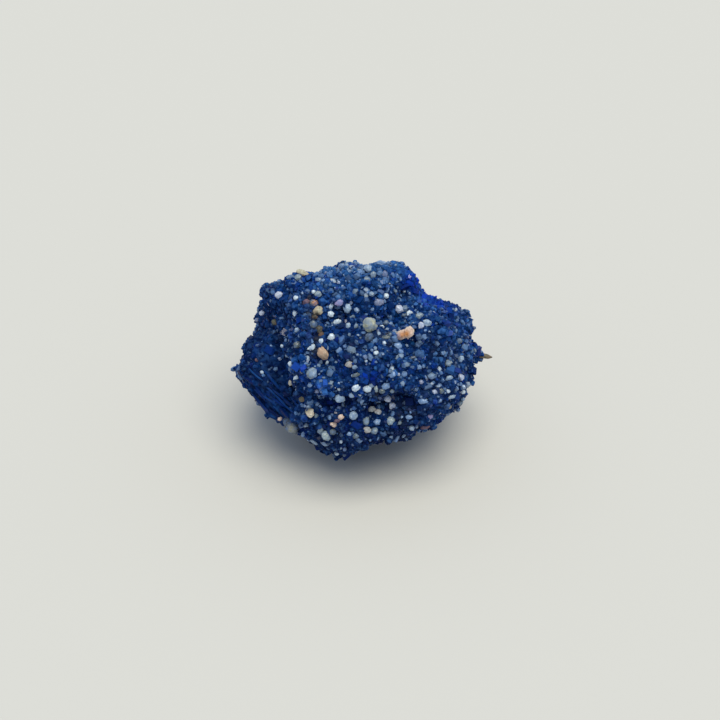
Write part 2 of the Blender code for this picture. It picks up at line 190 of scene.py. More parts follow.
# Grains that stand out one by one, by region. The lift is a share of the width:
# (pixel x, pixel y, length and width in mm, turn in degrees, tint, lift).
NAMED_GRAINS = {
    "showpieces": (
        (403.2, 334.2, 1.52, 0.84, 22, "peach", 0.30), (408.8, 332.5, 1.20, 0.94, 75, "peach", 0.36),
        (370, 324.5, 1.30, 1.30, 10, "stone", 0.26), (369, 337, 0.95, 0.75, 60, "smoky", 0.05),
        (322.5, 353.5, 1.26, 0.92, 118, "tan", 0.66), (310, 412.5, 0.95, 0.76, 112, "ivory", 0.60),
        (340, 398, 0.92, 0.85, 0, "milky", 1.15), (312, 373.5, 1.05, 0.95, 35, "grey_green", 0.28),
    ),
    "twins": (
        (419, 317, 0.95, 0.75, 20, "grey_green", 0.16), (427, 323, 0.85, 0.66, 150, "milky", 0.12),
        (421, 326, 0.75, 0.60, 90, "pearl", 0.12),
    ),
    "chin": (
        (337, 453, 0.52, 0.48, 0, "white", 0.70), (329, 452, 0.34, 0.30, 0, "white", 0.70),
    ),
    "crown": (
        (379, 302, 0.90, 0.80, 20, "pink_grey", 0.15), (399, 309, 0.80, 0.72, 120, "pearl", 0.18),
        (386, 296, 0.55, 0.50, 0, "white", 0.20), (368, 269, 0.85, 0.80, 0, "milky", 0.12),
        (373, 275, 0.70, 0.60, 80, "grey_green", 0.15), (342, 267, 0.75, 0.65, 0, "blue_grey", 0.48),
        (352, 267, 0.65, 0.36, 0, "milky", 0.48), (348, 263, 1.30, 0.45, 5, "grey_green", 0.30),
        (382, 263, 1.20, 0.45, 170, "blue_grey", 0.30), (302, 272, 1.20, 0.55, 160, "yellow", 0.08),
        (298, 278, 0.70, 0.60, 80, "grey_green", 0.12),
    ),
    "brow": (
        (347, 308, 0.88, 0.80, 60, "milky", 0.20), (339, 303, 0.82, 0.62, 30, "rose", 0.15),
    ),
    "seam": (
        (318, 294, 0.70, 0.60, 0, "grey_green", 0.12), (314, 292, 0.44, 0.40, 0, "white", 0.22),
        (314, 303, 0.85, 0.75, 0, "olive_grey", 0.13), (306, 302, 0.75, 0.55, 20, "brick", 0.08),
        (318, 311, 0.98, 0.85, 40, "yellow", 0.12), (314, 317, 0.70, 0.50, 10, "umber", 0.10),
        (313, 325, 0.85, 0.80, 80, "olive_grey", 0.12), (319, 329, 0.70, 0.60, 80, "olive", 0.04),
        (321, 335, 0.70, 0.60, 80, "umber", 0.02), (297, 345, 0.70, 0.62, 40, "olive_grey", 0.12),
    ),
    "shelf": (
        (291.5, 425, 1.95, 1.35, 122, "clear", 0.34), (287.5, 431.5, 0.90, 0.50, 140, "yellow", 0.30),
        (280, 419, 0.50, 0.40, 20, "peach", 0.06),
    ),
    "lobe": (
        (279, 295, 0.80, 0.70, 20, "pearl", 0.16), (296, 298, 0.50, 0.44, 0, "white", 0.20),
    ),
    "knee": (
        (291.5, 382, 0.80, 0.56, 70, "ivory", 0.70), (297, 377, 0.85, 0.36, 30, "white", 0.48),
    ),
    "edge": (
        (262, 313, 0.55, 0.50, 0, "pearl", 0.15), (257, 320, 0.45, 0.40, 0, "pink_grey", 0.30),
        (275, 322, 0.65, 0.60, 0, "olive", 0.30),
    ),
    "low_cluster": (
        (341, 417, 0.56, 0.50, 25, "peach", 0.20), (337, 421, 0.60, 0.36, 5, "brick", 0.14),
        (335, 425, 0.95, 0.46, 170, "peach", 0.48),
    ),
    "beads": (
        (331, 337, 0.68, 0.64, 0, "white", 0.28), (321, 341, 0.52, 0.44, 60, "white", 0.22),
        (311, 347, 0.80, 0.66, 40, "white", 0.20),
    ),
    "column": (
        (331, 306, 0.62, 0.42, 60, "white", 0.48), (331, 314, 0.60, 0.56, 0, "white", 0.20),
        (337, 322, 0.82, 0.50, 20, "white", 0.48),
    ),
    "left_face": (
        (297, 330, 0.45, 0.45, 0, "milky", 0.22), (295, 313, 0.66, 0.42, 80, "white", 0.48),
        (291, 364, 0.60, 0.55, 0, "white", 0.48), (262, 372, 0.38, 0.34, 0, "white", 0.22),
        (282, 346, 0.32, 0.30, 0, "white", 0.22), (271, 346, 0.30, 0.26, 0, "blue_grey", 0.10),
        (257, 360, 0.42, 0.36, 0, "brick", 0.12),
    ),
    "belly": (
        (349, 364, 0.75, 0.66, 0, "cream", 0.22), (339, 350, 0.62, 0.56, 0, "blue_grey", 0.16),
        (376, 353, 0.46, 0.42, 0, "white", 0.28), (391, 368, 0.52, 0.50, 0, "white", 0.24),
        (384, 343, 0.42, 0.38, 0, "white", 0.20), (398, 346, 0.72, 0.62, 0, "blue_grey", 0.16),
        (348, 326, 0.66, 0.50, 80, "milky", 0.17), (356, 326, 0.50, 0.36, 80, "grey_green", 0.16),
        (356, 375, 0.72, 0.40, 20, "olive_grey", 0.16), (382, 327, 0.44, 0.40, 0, "white", 0.20),
        (386, 323, 0.55, 0.48, 0, "olive_grey", 0.48), (378, 334, 0.50, 0.46, 0, "milky", 0.48),
        (386, 338, 0.95, 0.55, 5, "olive_grey", 0.20),
    ),
    "low": (
        (356, 388, 0.78, 0.58, 30, "white", 0.28), (367, 389, 0.86, 0.66, 10, "white", 0.28),
        (352, 395, 0.56, 0.52, 0, "milky", 0.48), (387, 398, 0.86, 0.66, 140, "pearl", 0.48),
        (392, 406, 0.68, 0.62, 40, "pearl", 0.48), (372, 409, 0.75, 0.56, 0, "cream", 0.48),
        (376, 389, 0.62, 0.38, 85, "grey_green", 0.20), (339, 389, 0.36, 0.34, 0, "white", 0.25),
        (378, 412, 0.64, 0.54, 20, "cream", 0.20), (382, 391, 0.58, 0.50, 0, "olive_grey", 0.14),
        (386, 386, 0.82, 0.60, 30, "blue_grey", 0.14), (392, 391, 0.44, 0.42, 0, "grey_green", 0.48),
    ),
    "hip": (
        (317, 391, 0.42, 0.40, 0, "pink_grey", 0.48), (302, 399, 0.60, 0.56, 0, "olive", 0.12),
        (317, 404, 0.44, 0.40, 0, "blue_grey", 0.18),
    ),
    "right": (
        (439, 369, 0.66, 0.44, 80, "white", 0.22), (459, 341, 0.66, 0.52, 30, "olive_grey", 0.15),
        (448, 406, 0.80, 0.62, 30, "yellow", 0.16), (423, 401, 0.92, 0.54, 5, "blue_grey", 0.16),
        (404, 374, 0.66, 0.56, 30, "blue_grey", 0.15), (419, 367, 0.50, 0.44, 0, "blue_grey", 0.20),
        (448, 363, 0.75, 0.66, 20, "grey_green", 0.16), (449, 378, 0.76, 0.44, 25, "milky", 0.18),
        (421, 382, 0.50, 0.42, 0, "pink_grey", 0.18), (441, 391, 0.62, 0.52, 0, "olive_grey", 0.15),
        (448, 391, 0.44, 0.42, 0, "white", 0.20), (451, 397, 0.98, 0.36, 20, "milky", 0.15),
        (463, 392, 0.46, 0.42, 0, "white", 0.18), (430, 416, 0.66, 0.54, 30, "rose", 0.14),
    ),
    "foot": (
        (391, 421, 0.86, 0.80, 60, "pebble", 0.16), (374, 431, 0.76, 0.66, 20, "grey_green", 0.15),
        (326, 436, 0.98, 0.84, 150, "pebble", 0.16), (353, 415, 0.90, 0.78, 120, "milky", 0.14),
        (333, 432, 0.66, 0.60, 30, "olive_grey", 0.48), (366, 421, 0.82, 0.60, 80, "grey_green", 0.15),
        (377, 422, 0.72, 0.60, 20, "blue_grey", 0.18), (367, 430, 0.76, 0.60, 0, "cream", 0.15),
        (349, 434, 0.44, 0.40, 0, "blue_grey", 0.18), (356, 436, 0.62, 0.50, 0, "olive_grey", 0.12),
        (399, 422, 0.54, 0.50, 0, "grey_green", 0.14), (409, 417, 0.66, 0.44, 10, "blue_grey", 0.15),
        (412, 428, 0.52, 0.50, 0, "milky", 0.15), (425, 427, 0.90, 0.40, 10, "brick", 0.02),
    ),
    "teeth": (
        (391, 437, 0.85, 0.34, 65, "milky", 0.48), (397, 438, 0.80, 0.34, 65, "blue_grey", 0.12),
        (404, 435, 0.70, 0.34, 60, "milky", 0.12),
    ),
    "heel": (
        (314, 442, 1.00, 0.34, 145, "milky", 0.12), (303, 434, 0.60, 0.36, 80, "blue_grey", 0.12),
        (360, 441, 0.72, 0.34, 35, "blue_grey", 0.12),
    ),
}
# Blotches on the larger grains: name: (pixel x, pixel y, radius in mm, tint, strength).
BLOTCHES = {
    "rust_heart": (406.5, 333.8, 0.26, "rust", 1.0),
    "rust_heel": (402.0, 335.0, 0.24, "rust", 0.9),
    "pale_tip": (412.5, 331.5, 0.34, "ivory", 1.0),
    "pale_top": (408.5, 327.5, 0.28, "ivory", 0.7),
    "pale_tail": (397.5, 336.5, 0.25, "rose", 0.5),
    "clear_foot": (288.5, 431.5, 0.36, "yellow", 0.7),
    "cream_top": (308.0, 408.5, 0.30, "olive", 0.8),
    "seam_rust": (315.0, 302.5, 0.28, "rust", 0.8),
    "seam_earth": (316.5, 314.5, 0.30, "umber", 0.9),
    "seam_earth_low": (318.0, 327.0, 0.40, "umber", 0.8),
    "milky_heart": (370.0, 324.5, 0.24, "olive_grey", 0.3),
    "milky_rim": (373.5, 329.0, 0.30, "olive_grey", 0.5),
    "tan_foot": (324.5, 357.0, 0.34, "umber", 0.5),
    "cream_rim": (306.5, 410.0, 0.30, "olive", 0.5),
    "knee_rim": (316.5, 376.0, 0.40, "blue_grey", 0.8),
}
# Larger azurite crystals that stand out, by region:
# (pixel x, pixel y, length and width in mm, turn in degrees, tone, vividness).
NAMED_CRYSTALS = {
    "saddle": (
        (424, 297, 0.85, 0.70, 150, 0.60, 0.9), (415, 291, 0.95, 0.70, 140, 0.20, 0.5),
        (405, 287, 0.90, 0.70, 30, 0.10, 0.4), (409, 283, 0.80, 0.60, 130, 0.40, 0.7),
        (416, 304, 0.46, 0.38, 20, 1.00, 0.1), (422, 304, 0.42, 0.34, 150, 1.00, 0.1),
    ),
    "knee": (
        (320, 377, 0.62, 0.50, 140, 0.90, 0.5), (325, 383, 0.72, 0.60, 60, 0.95, 0.5),
        (328, 388, 0.50, 0.40, 20, 0.80, 0.3), (303, 368, 0.75, 0.58, 20, 0.60, 0.7),
    ),
    "belly": (
        (365, 375, 0.80, 0.72, 40, 0.45, 0.8), (330, 402, 0.90, 0.75, 20, 0.10, 0.5),
        (356, 425, 0.90, 0.75, 150, 0.15, 0.4),
    ),
    "crown_and_right": (
        (360, 300, 0.95, 0.80, 70, 0.35, 0.0), (441, 322, 0.80, 0.70, 100, 0.35, 0.3),
    ),
    "edge": (
        (478, 351, 1.00, 0.85, 60, 0.08, 0.5), (473, 370, 1.05, 0.90, 20, 0.10, 0.1),
    ),
    "left_face": (
        (300, 320, 0.80, 0.62, 60, 0.35, 0.3), (270, 350, 0.95, 0.75, 160, 0.28, 0.2),
    ),
    "chin": (
        (346, 455, 0.90, 0.75, 20, 0.20, 0.2),
    ),
}
# The slender blades of the ledges, row by row from the outer edge in:
# (offset in mm, thickness in mm, tone, vividness).
LEDGE_ROWS = (
    (0.05, 0.46, 0.10, 0.12), (0.45, 0.28, 0.46, 0.00), (0.80, 0.44, 0.10, 0.25), (1.30, 0.26, 0.54, 0.00),
    (1.62, 0.40, 0.14, 0.05), (2.20, 0.28, 0.36, 0.00),
)
# The spur: (x, up, out, radius) in rim mm, from its root to its tip.
SPUR = (
    (10.6, 0.30, -0.05, 0.34), (11.4, 0.25, 0.10, 0.36), (11.9, 0.18, 0.20, 0.36),
    (12.3, 0.12, 0.30, 0.30), (12.58, 0.09, 0.37, 0.17), (12.74, 0.08, 0.40, 0.04),
)
SPUR_TINT = (0.13, 0.12, 0.08)
# The colours that the sand and the large grains share.
TINTS = {
    "rust": (0.60, 0.25, 0.08),
    "peach": (0.76, 0.6, 0.52),
    "tan": (0.55, 0.395, 0.29),
    "cream": (0.42, 0.45, 0.48),
    "ivory": (0.78, 0.74, 0.62),
    "pearl": (0.62, 0.68, 0.84),
    "yellow": (0.52, 0.51, 0.39),
    "stone": (0.45, 0.475, 0.37),
    "pebble": (0.36, 0.45, 0.49),
    "milky": (0.37, 0.50, 0.66),
    "white": (0.74, 0.88, 1.00),
    "grey_green": (0.26, 0.335, 0.385),
    "olive_grey": (0.115, 0.148, 0.165),
    "blue_grey": (0.23, 0.37, 0.63),
    "pink_grey": (0.28, 0.32, 0.49),
    "rose": (0.33, 0.30, 0.58),
    "brick": (0.12, 0.078, 0.135),
    "umber": (0.045, 0.045, 0.04),
    "olive": (0.105, 0.125, 0.098),
    "smoky": (0.058, 0.08, 0.115),
    "clear": (0.085, 0.115, 0.16),
}
# How often each tint comes up in the finer sand.
SAND_MIX = {
    "milky": 0.30, "white": 0.10, "grey_green": 0.15, "blue_grey": 0.26, "pearl": 0.05,
    "pink_grey": 0.05, "olive": 0.025, "tan": 0.004, "smoky": 0.015,
}
# How often each tint comes up in the large grains on the back.
BACK_MIX = {
    "milky": 5, "grey_green": 4, "blue_grey": 4, "white": 3, "cream": 1, "tan": 1, "rust": 1, "olive": 2,
    "pink_grey": 1, "peach": 1,
}
# Tints of grains stained by iron, which belong to the ochre sand.
STAINED = {"rust", "peach", "tan", "cream", "ivory", "yellow", "olive", "umber", "brick"}
# Noise that makes the azurite and the sand uneven: (size of a patch in mm, shift).
SWIRL, FINE_SWIRL = (1.9, (9, 4, 2)), (0.75, (0, 0, 0))
CLOT, PATCHY, SMEAR = (0.9, (2, 2, 30)), (1.3, (8, 5, 3)), (0.7, (6, 1, 9))
SANDY, FINE_SANDY = (2.6, (0, 0, 0)), (0.8, (3, 8, 1))
# The azurite's usual tone; how much swirls change it; how much painted shade darkens it in the hollows; and
# how much ledges change it.
USUAL_TONE, SWIRL_TONE, PIT_SHADE, LEDGE_TONE = 0.42, 0.34, 0.4, 0.24
# A few grains lean towards green and a few towards violet: the share of each, what it does to the
# colour, and the tone from which grains are too pale for it.
HUE_SHARE, GREENISH, VIOLET, PALE_TONE = 0.10, (0.8, 1.22, 0.92), (2.0, 0.85, 1.05), 0.6
# How far a large grain is sunk, and how far one on the back is lifted, as shares of its width.
SUNK, BACK_LIFT = 0.04, 0.1
# Edges that turn by more than these angles stay crisp: on the large grains, and on the rounder small ones.
CRISP, ROUNDED = 0.6, 0.7
# How many shapes each kind of small grain comes in.
SHAPES = 20
# The sockets of the two shader groups, in the order of the finishes below.
MOTTLE_SOCKETS = ("Patch Scale", "Fleck Scale", "Depth", "Stain", "Stain Amount")
WEAR_SOCKETS = ("Step Scale", "Pit Scale", "Pit Share", "Smoothest", "Roughest")
# The minerals' finishes: (mottle, wear, bump strength, bump depth in mm, the shader's own values).
FINISHES = {
    "azurite_crystal": (
        (900.0, 7000.0, 0.45, (0.003, 0.012, 0.06, 1), 0.25), (5000.0, 14000.0, 0.35, 0.20, 0.45),
        0.35, 0.02, {"IOR": 1.73, "Specular IOR Level": 0.03},
    ),
    "azurite_bright_face": (
        (900.0, 7000.0, 0.35, (0.003, 0.012, 0.06, 1), 0.2), (4000.0, 14000.0, 0.2, 0.06, 0.22),
        0.2, 0.02, {"IOR": 1.73, "Specular IOR Level": 0.30},
    ),
    # The coat's pale blue stain patches are partly painted highlight, standing for the light on the grains'
    # tops and edges.
    "azurite_coat": (
        (3000.0, 9000.0, 0.60, (0.055, 0.15, 0.35, 1), 0.32), (4000.0, 12000.0, 0.85, 0.40, 0.75),
        0.6, 0.02, {"IOR": 1.73, "Specular IOR Level": 0.015},
    ),
    "azurite_cement": (
        (2400.0, 8000.0, 0.6, (0.04, 0.12, 0.30, 1), 0.18), (3000.0, 9000.0, 0.8, 0.45, 0.85),
        0.7, 0.05, {"Specular IOR Level": 0.02},
    ),
    "quartz_sand_grain": (
        (3000.0, 8000.0, 0.42, (0.05, 0.13, 0.32, 1), 0.55), (7000.0, 15000.0, 0.75, 0.15, 0.55),
        0.4, 0.02, {"IOR": 1.54, "Transmission Weight": 0.20, "Specular IOR Level": 0.40},
    ),
    "iron_stained_grain": (
        (2200.0, 7000.0, 0.6, (0.16, 0.08, 0.05, 1), 0.45), (5000.0, 11000.0, 0.85, 0.35, 0.75),
        0.6, 0.03, {"Specular IOR Level": 0.3},
    ),
}


def distance(name, description, default, low=0.0, high=100.0):
    """A length in millimetres, shown as a plain number."""
    return bpy.props.FloatProperty(
        name=name, description=description + ", in mm", default=default, min=low, max=high, precision=3
    )


def amount(name, description, default, high=1.0):
    return bpy.props.FloatProperty(name=name, description=description, default=default, min=0, max=high)


def angle(name, description, degrees):
    return bpy.props.FloatProperty(
        name=name, description=description, default=math.radians(degrees), subtype="ANGLE"
    )


def colour(name, description, default):
    return bpy.props.FloatVectorProperty(
        name=name, description=description, default=default, size=3, min=0, max=1, subtype="COLOR"
    )


class GroundmassSettings(bpy.types.PropertyGroup):
    voxel: distance("Voxel", "Size of the voxels that the solid is remeshed with", 0.15, 0.05, 1)
    inset: distance("Inset", "How far the groundmass lies inside the solid", 0.10, 0, 1)
    knob: distance("Knob", "Spacing of the knobs that the grains cluster into", 1.25, 0.2, 5)
    knob_relief: distance("Knob relief", "Height of the knobs above the creases between them", 0.42, 0, 2)
    lump: distance("Lump", "Spacing of the small lumps in the cement", 0.50, 0.1, 3)
    relief: distance("Relief", "Height of the small lumps", 0.20, 0, 1)
    ledge: distance("Ledge height", "Height of the ledges at the lower left", 0.17, 0, 1)
    fill: distance("Fill", "How far massive azurite stands out, in place of the grains elsewhere", 0.32, 0, 1)
    # This colour is mixed in as painted shade between the lumps and in the creases of the groundmass.
    cement_and_shade: colour("Cement", "Colour of the cement between the grains", (0.0022, 0.0115, 0.070))


class CrystalSettings(bpy.types.PropertyGroup):
    coarse: distance("Coarse size", "Mean width of the larger crystals and coated grains", 0.50, 0.1, 2)
    fine: distance("Fine size", "Mean width of the smaller crystals", 0.26, 0.05, 1)
    gap: distance("Gap", "Least distance between two of the larger grains", 0.43, 0.1, 2)
    fine_gap: distance("Fine gap", "Least distance between two of the smaller grains", 0.25, 0.05, 2)
    coated: amount("Coated", "Share of the larger azurite grains that are sand coated in azurite", 0.65)
    glinting: amount("Glinting", "Share of the larger azurite grains that have glossy faces", 0.09)
    seed: bpy.props.IntProperty(name="Seed", description="Another number gives another scatter", default=7)
    deep: colour("Deep", "The darkest azurite", (0.0010, 0.010, 0.062))
    blue: colour("Blue", "Azurite of middling tone", (0.0026, 0.036, 0.178))
    bright: colour("Bright", "The palest azurite", (0.035, 0.138, 0.385))
    vivid: colour("Vivid", "The purest azurite", (0.003, 0.040, 0.450))
    veil: colour("Veil", "Sand seen through a thin coat of azurite", (0.122, 0.205, 0.370))
    earth: colour("Earth", "Grey-brown dust between the grains", (0.040, 0.042, 0.040))
    veiled: amount("Veiled", "Share of the azurite grains that are such thinly coated sand", 0.28)


class SandSettings(bpy.types.PropertyGroup):
    share: amount("Share", "Share of the grains that are sand, where nothing says otherwise", 0.100)
    size: distance("Size", "Mean width of a sand grain", 0.50, 0.1, 2)
    fade: amount("Fade", "How much of the larger sand's colour may be veiled by azurite dust", 0.70)
    fine_fade: amount("Fine fade", "The same for the finer sand", 0.95)
    hidden: bpy.props.IntProperty(
        name="Back grains", description="Number of large grains on the back", default=46, min=0
    )


class StageSettings(bpy.types.PropertyGroup):
    surroundings: colour("Surroundings", "Colour of the light from all round", (0.59, 0.69, 0.84))
    backdrop: colour("Backdrop", "Colour of what lies beyond the floor", (0.716, 0.723, 0.680))
    floor: colour("Floor", "The floor's own colour", (0.439, 0.436, 0.424))
    glow: colour("Light colour", "Colour of the soft light overhead", (1.0, 0.93, 0.74))
    sun: amount("Light", "Strength of the soft light overhead", 3.46, 100)
    spread: angle("Spread", "Angle that the light overhead fills", 50)
    lean: angle("Lean", "Angle by which it leans towards the viewer", 15)
    turn: angle("Turn", "Angle by which it then turns to the viewer's right", 30)
    reach: distance("Camera reach", "Distance of the camera from the rim's centre", 130.0, 10, 1000)
    lens: bpy.props.FloatProperty(name="Lens", description="Focal length in mm", default=68.4, min=1)


def settings():
    return bpy.context.scene.azurite_nodule


class NoduleSettings(bpy.types.PropertyGroup):
    groundmass: bpy.props.PointerProperty(type=GroundmassSettings)
    crystals: bpy.props.PointerProperty(type=CrystalSettings)
    sand: bpy.props.PointerProperty(type=SandSettings)
    stage: bpy.props.PointerProperty(type=StageSettings)


# Places on the rim, and lines of sight.


def to_rim(point):
    """A point of the frame as (x, up, out) in millimetres in the rim's frame."""
    return RIM_AXES @ (Vector(point) - RIM_CENTRE) / MM


def from_rim(x, up, out):
    return RIM_AXES.transposed() @ Vector((x, up, out)) * MM + RIM_CENTRE


def sight_line(pixel_x, pixel_y):
    """The start and direction of the camera's line of sight through a pixel of its square frame."""
    stage = settings().stage
    width = stage.reach * SENSOR / stage.lens
    half = FRAME_SIDE / 2
    eye = AIM + Vector((0, 0, stage.reach))
    aside, up = (pixel_x - half) / FRAME_SIDE * width, (half - pixel_y) / FRAME_SIDE * width
    target = AIM + Vector((aside, up, 0))
    start, end = from_rim(*eye), from_rim(*target)
    return start, (end - start).normalized()


def pixel_of(rim_point):
    """The pixel through which a point of the rim is seen."""
    return MIDDLE_PIXEL + rim_point.x / PIXEL_SPAN, MIDDLE_PIXEL - rim_point.y / PIXEL_SPAN


def uneven(rim_point, size, shift):
    """Noise from -1 to 1, in patches of this size."""
    return noise.noise(rim_point / size + Vector(shift))


def place_strength(places, rim_point):
    """The sum of what the named places add at a point of the rim's frame."""
    x, up, out = rim_point
    total = 0.0
    for side, start, end, radius, strength in places.values():
        if side * out < 0:
            continue
        along_x, along_up = end[0] - start[0], end[1] - start[1]
        square = along_x**2 + along_up**2 or 1.0
        share = ((x - start[0]) * along_x + (up - start[1]) * along_up) / square
        share = min(max(share, 0), 1)
        gap = math.hypot(x - start[0] - share * along_x, up - start[1] - share * along_up)
        total += strength * math.exp(-((gap / radius) ** 2))
    return total


# Meshes.


def new_piece(name, verts, faces, material, sharp=None):
    """A mesh piece that rides on the nodule, with the given material.

    Edges turning by more than the angle sharp stay crisp. Without it, every face is flat.
    """
    mesh = bpy.data.meshes.new(name)
    mesh.from_pydata(verts, [], faces)
    mesh.update()
    if sharp is None:
        mesh.shade_flat()
    else:
        mesh.shade_smooth()
        mesh.set_sharp_from_angle(angle=sharp)
    mesh.materials.append(material)
    obj = bpy.data.objects.new(name, mesh)
    bpy.context.scene.collection.objects.link(obj)
    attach(obj, BODY)
    return obj


def tint_points(obj, colours):
    """Stores one colour per point, as the attribute that the materials read."""
    layer = obj.data.attributes.new("grain_tint", "FLOAT_COLOR", "POINT")
    alpha = np.ones((len(colours), 1))
    layer.data.foreach_set("color", np.hstack([colours, alpha]).astype(np.float32).ravel())


def mesh_arrays(mesh):
    points = np.empty(len(mesh.vertices) * 3)
    mesh.vertices.foreach_get("co", points)
    normals = np.empty(len(mesh.vertices) * 3)
    mesh.vertex_normals.foreach_get("vector", normals)
    mesh.calc_loop_triangles()
    triangles = np.empty(len(mesh.loop_triangles) * 3, int)
    mesh.loop_triangles.foreach_get("vertices", triangles)
    return points.reshape(-1, 3), normals.reshape(-1, 3), triangles.reshape(-1, 3)


def shape_of(bm):
    """A bmesh as (points, faces), centred, and at most 1 across."""
    bmesh.ops.recalc_face_normals(bm, faces=bm.faces)
    bm.verts.ensure_lookup_table()
    points = np.array([v.co for v in bm.verts])
    faces = np.array([[v.index for v in f.verts] for f in bm.faces])
    points -= (points.max(0) + points.min(0)) / 2
    bm.free()
    return points / np.ptp(points, axis=0).max(), faces


def crystal_shape(chance, cuts):
    """An azurite crystal: a skewed block with some of its corners and edges cut off flat."""
    shear, depth, tilt, height, cut_at = (-0.3, 0.3), (0.6, 0.95), (-0.2, 0.2), (0.55, 1.1), (0.62, 0.85)
    bm = bmesh.new()
    bmesh.ops.create_cube(bm, size=1)
    skew = Matrix((
        (1, chance.uniform(*shear), 0),
        (0, chance.uniform(*depth), 0),
        (0, chance.uniform(*tilt), chance.uniform(*height)),
    ))
    bm.transform(skew.to_4x4())
    for _ in range(cuts):
        direction = Vector(chance.gauss(0, 1) for _ in range(3)).normalized()
        reach = max(v.co.dot(direction) for v in bm.verts)
        everything = bm.verts[:] + bm.edges[:] + bm.faces[:]
        where = direction * reach * chance.uniform(*cut_at)
        cut = bmesh.ops.bisect_plane(
            bm, geom=everything, plane_co=where, plane_no=direction, clear_outer=True
        )
        edges = [e for e in cut["geom_cut"] if isinstance(e, bmesh.types.BMEdge)]
        bmesh.ops.holes_fill(bm, edges=edges)
    bmesh.ops.triangulate(bm, faces=bm.faces)
    return shape_of(bm)


def halve_edges(bm):
    bmesh.ops.subdivide_edges(bm, edges=bm.edges[:], cuts=1, use_grid_fill=True)


def wear(bm, chance, rounds):
    """Rounds a grain off, dents it gently, chips it along some lines and roughens its skin."""
    dent, chip, chip_width, skin = 0.16, 0.10, 0.35, 0.05
    for _ in range(rounds):
        halve_edges(bm)
    bmesh.ops.smooth_vert(
        bm, verts=bm.verts[:], factor=0.35, use_axis_x=True, use_axis_y=True, use_axis_z=True
    )
    offset = Vector(chance.uniform(0, 50) for _ in range(3))
    for vert in bm.verts:
        nearest, following = noise.voronoi(vert.co * 2.0 + offset)[0][:2]
        dented = 1 + dent * noise.noise(vert.co * 1.6 + offset)
        vert.co *= dented - chip * max(chip_width - following + nearest, 0) / chip_width
        vert.co *= 1 + skin * noise.noise(vert.co * 7 + offset)


def sand_shape(chance, corners, worn=0):
    """A sand grain: the hull of points scattered over a ball, rounded off where it is worn."""
    stretches, stray, reaches = (0.75, 1.1), 0.20, (0.86, 1.04)
    bm = bmesh.new()
    stretch = [chance.uniform(*stretches) for _ in range(3)]
    for number in range(corners):
        height = 1 - (2 * number + 1) / corners
        across, turn = math.sqrt(1 - height * height), GOLDEN_ANGLE * number
        way = Vector((across * math.cos(turn), across * math.sin(turn), height))
        way += Vector(chance.gauss(0, stray) for _ in range(3))
        reach = chance.uniform(*reaches)
        bm.verts.new([c * s * reach for c, s in zip(way.normalized(), stretch)])
    hull = bmesh.ops.convex_hull(bm, input=bm.verts[:])
    inner = hull["geom_interior"] + hull["geom_unused"]
    loose = {v for v in inner if isinstance(v, bmesh.types.BMVert)}
    bmesh.ops.delete(bm, geom=list(loose), context="VERTS")
    if worn:
        wear(bm, chance, worn)
    bmesh.ops.triangulate(bm, faces=bm.faces)
    return shape_of(bm)


def turn_matrices(normals, turns, tips):
    """One rotation per grain: its z along the normal, then turned about it, then tipped over."""
    made = []
    for normal, turn, tip in zip(normals, turns, tips):
        stand = Vector(normal).to_track_quat("Z", "Y").to_matrix()
        made.append(np.array(stand @ Matrix.Rotation(turn, 3, "Z") @ Matrix.Rotation(tip, 3, "X")))
    return np.array(made)


def join_grains(shapes, picks, places, turns, sizes, colours):
    """Copies of the shapes as one mesh's (points, faces, colours). Sizes holds three widths per grain."""
    points, faces, tints = [], [], []
    start = 0
    for number, (shape_points, shape_faces) in enumerate(shapes):
        mine = np.nonzero(picks == number)[0]
        if not len(mine):
            continue
        sized = shape_points[None] * sizes[mine][:, None]
        turned = np.einsum("nij,nvj->nvi", turns[mine], sized) + places[mine][:, None]
        points.append(turned.reshape(-1, 3))
        offsets = start + np.arange(len(mine)) * len(shape_points)
        faces.append((shape_faces[None] + offsets[:, None, None]).reshape(-1, 3))
        tints.append(np.repeat(colours[mine], len(shape_points), axis=0))
        start += len(mine) * len(shape_points)
    return np.vstack(points), np.vstack(faces), np.vstack(tints)


# Materials.


class Nodes:
    """A node tree with short ways to add and link nodes."""

    def __init__(self, tree):
        self.tree = tree

    def add(self, kind, **inputs):
        node = self.tree.nodes.new(kind)
        for name, value in inputs.items():
            key = int(name[1:]) if name[1:].isdigit() and name[0] == "i" else name.replace("_", " ")
            self.feed(node.inputs[key], value)
        return node

    def feed(self, socket, value):
        if isinstance(value, bpy.types.NodeSocket):
            self.tree.links.new(value, socket)
        else:
            socket.default_value = value

    def noise(self, place, scale, detail=2.0):
        return self.add("ShaderNodeTexNoise", Vector=place, Scale=scale, Detail=detail).outputs[0]

    def maths(self, operation, first, second=0.0):
        node = self.add("ShaderNodeMath", i0=first, i1=second)
        node.operation = operation
        return node.outputs[0]

    def spread(self, value, low, high, to_low=0.0, to_high=1.0):
        """Brings a value from one range to another, held within it."""
        ranges = {"From_Min": low, "From_Max": high, "To_Min": to_low, "To_Max": to_high}
        return self.add("ShaderNodeMapRange", Value=value, **ranges).outputs[0]

    def mix(self, factor, first, second, blend="MIX"):
        node = self.tree.nodes.new("ShaderNodeMix")
        node.data_type = "RGBA"
        node.blend_type = blend
        self.feed(node.inputs[0], factor)
        self.feed(node.inputs[6], first)
        self.feed(node.inputs[7], second)
        return node.outputs[2]


def group(name, inputs, outputs):
    """An empty shader node group with these sockets, its nodes, its inputs and its output node."""
    tree = bpy.data.node_groups.new(name, "ShaderNodeTree")
    for label, kind, default in inputs:
        socket = tree.interface.new_socket(label, in_out="INPUT", socket_type=kind)
        socket.default_value = default
    for label, kind in outputs:
        tree.interface.new_socket(label, in_out="OUTPUT", socket_type=kind)
    nodes = Nodes(tree)
    return tree, nodes, nodes.add("NodeGroupInput").outputs, nodes.add("NodeGroupOutput").inputs


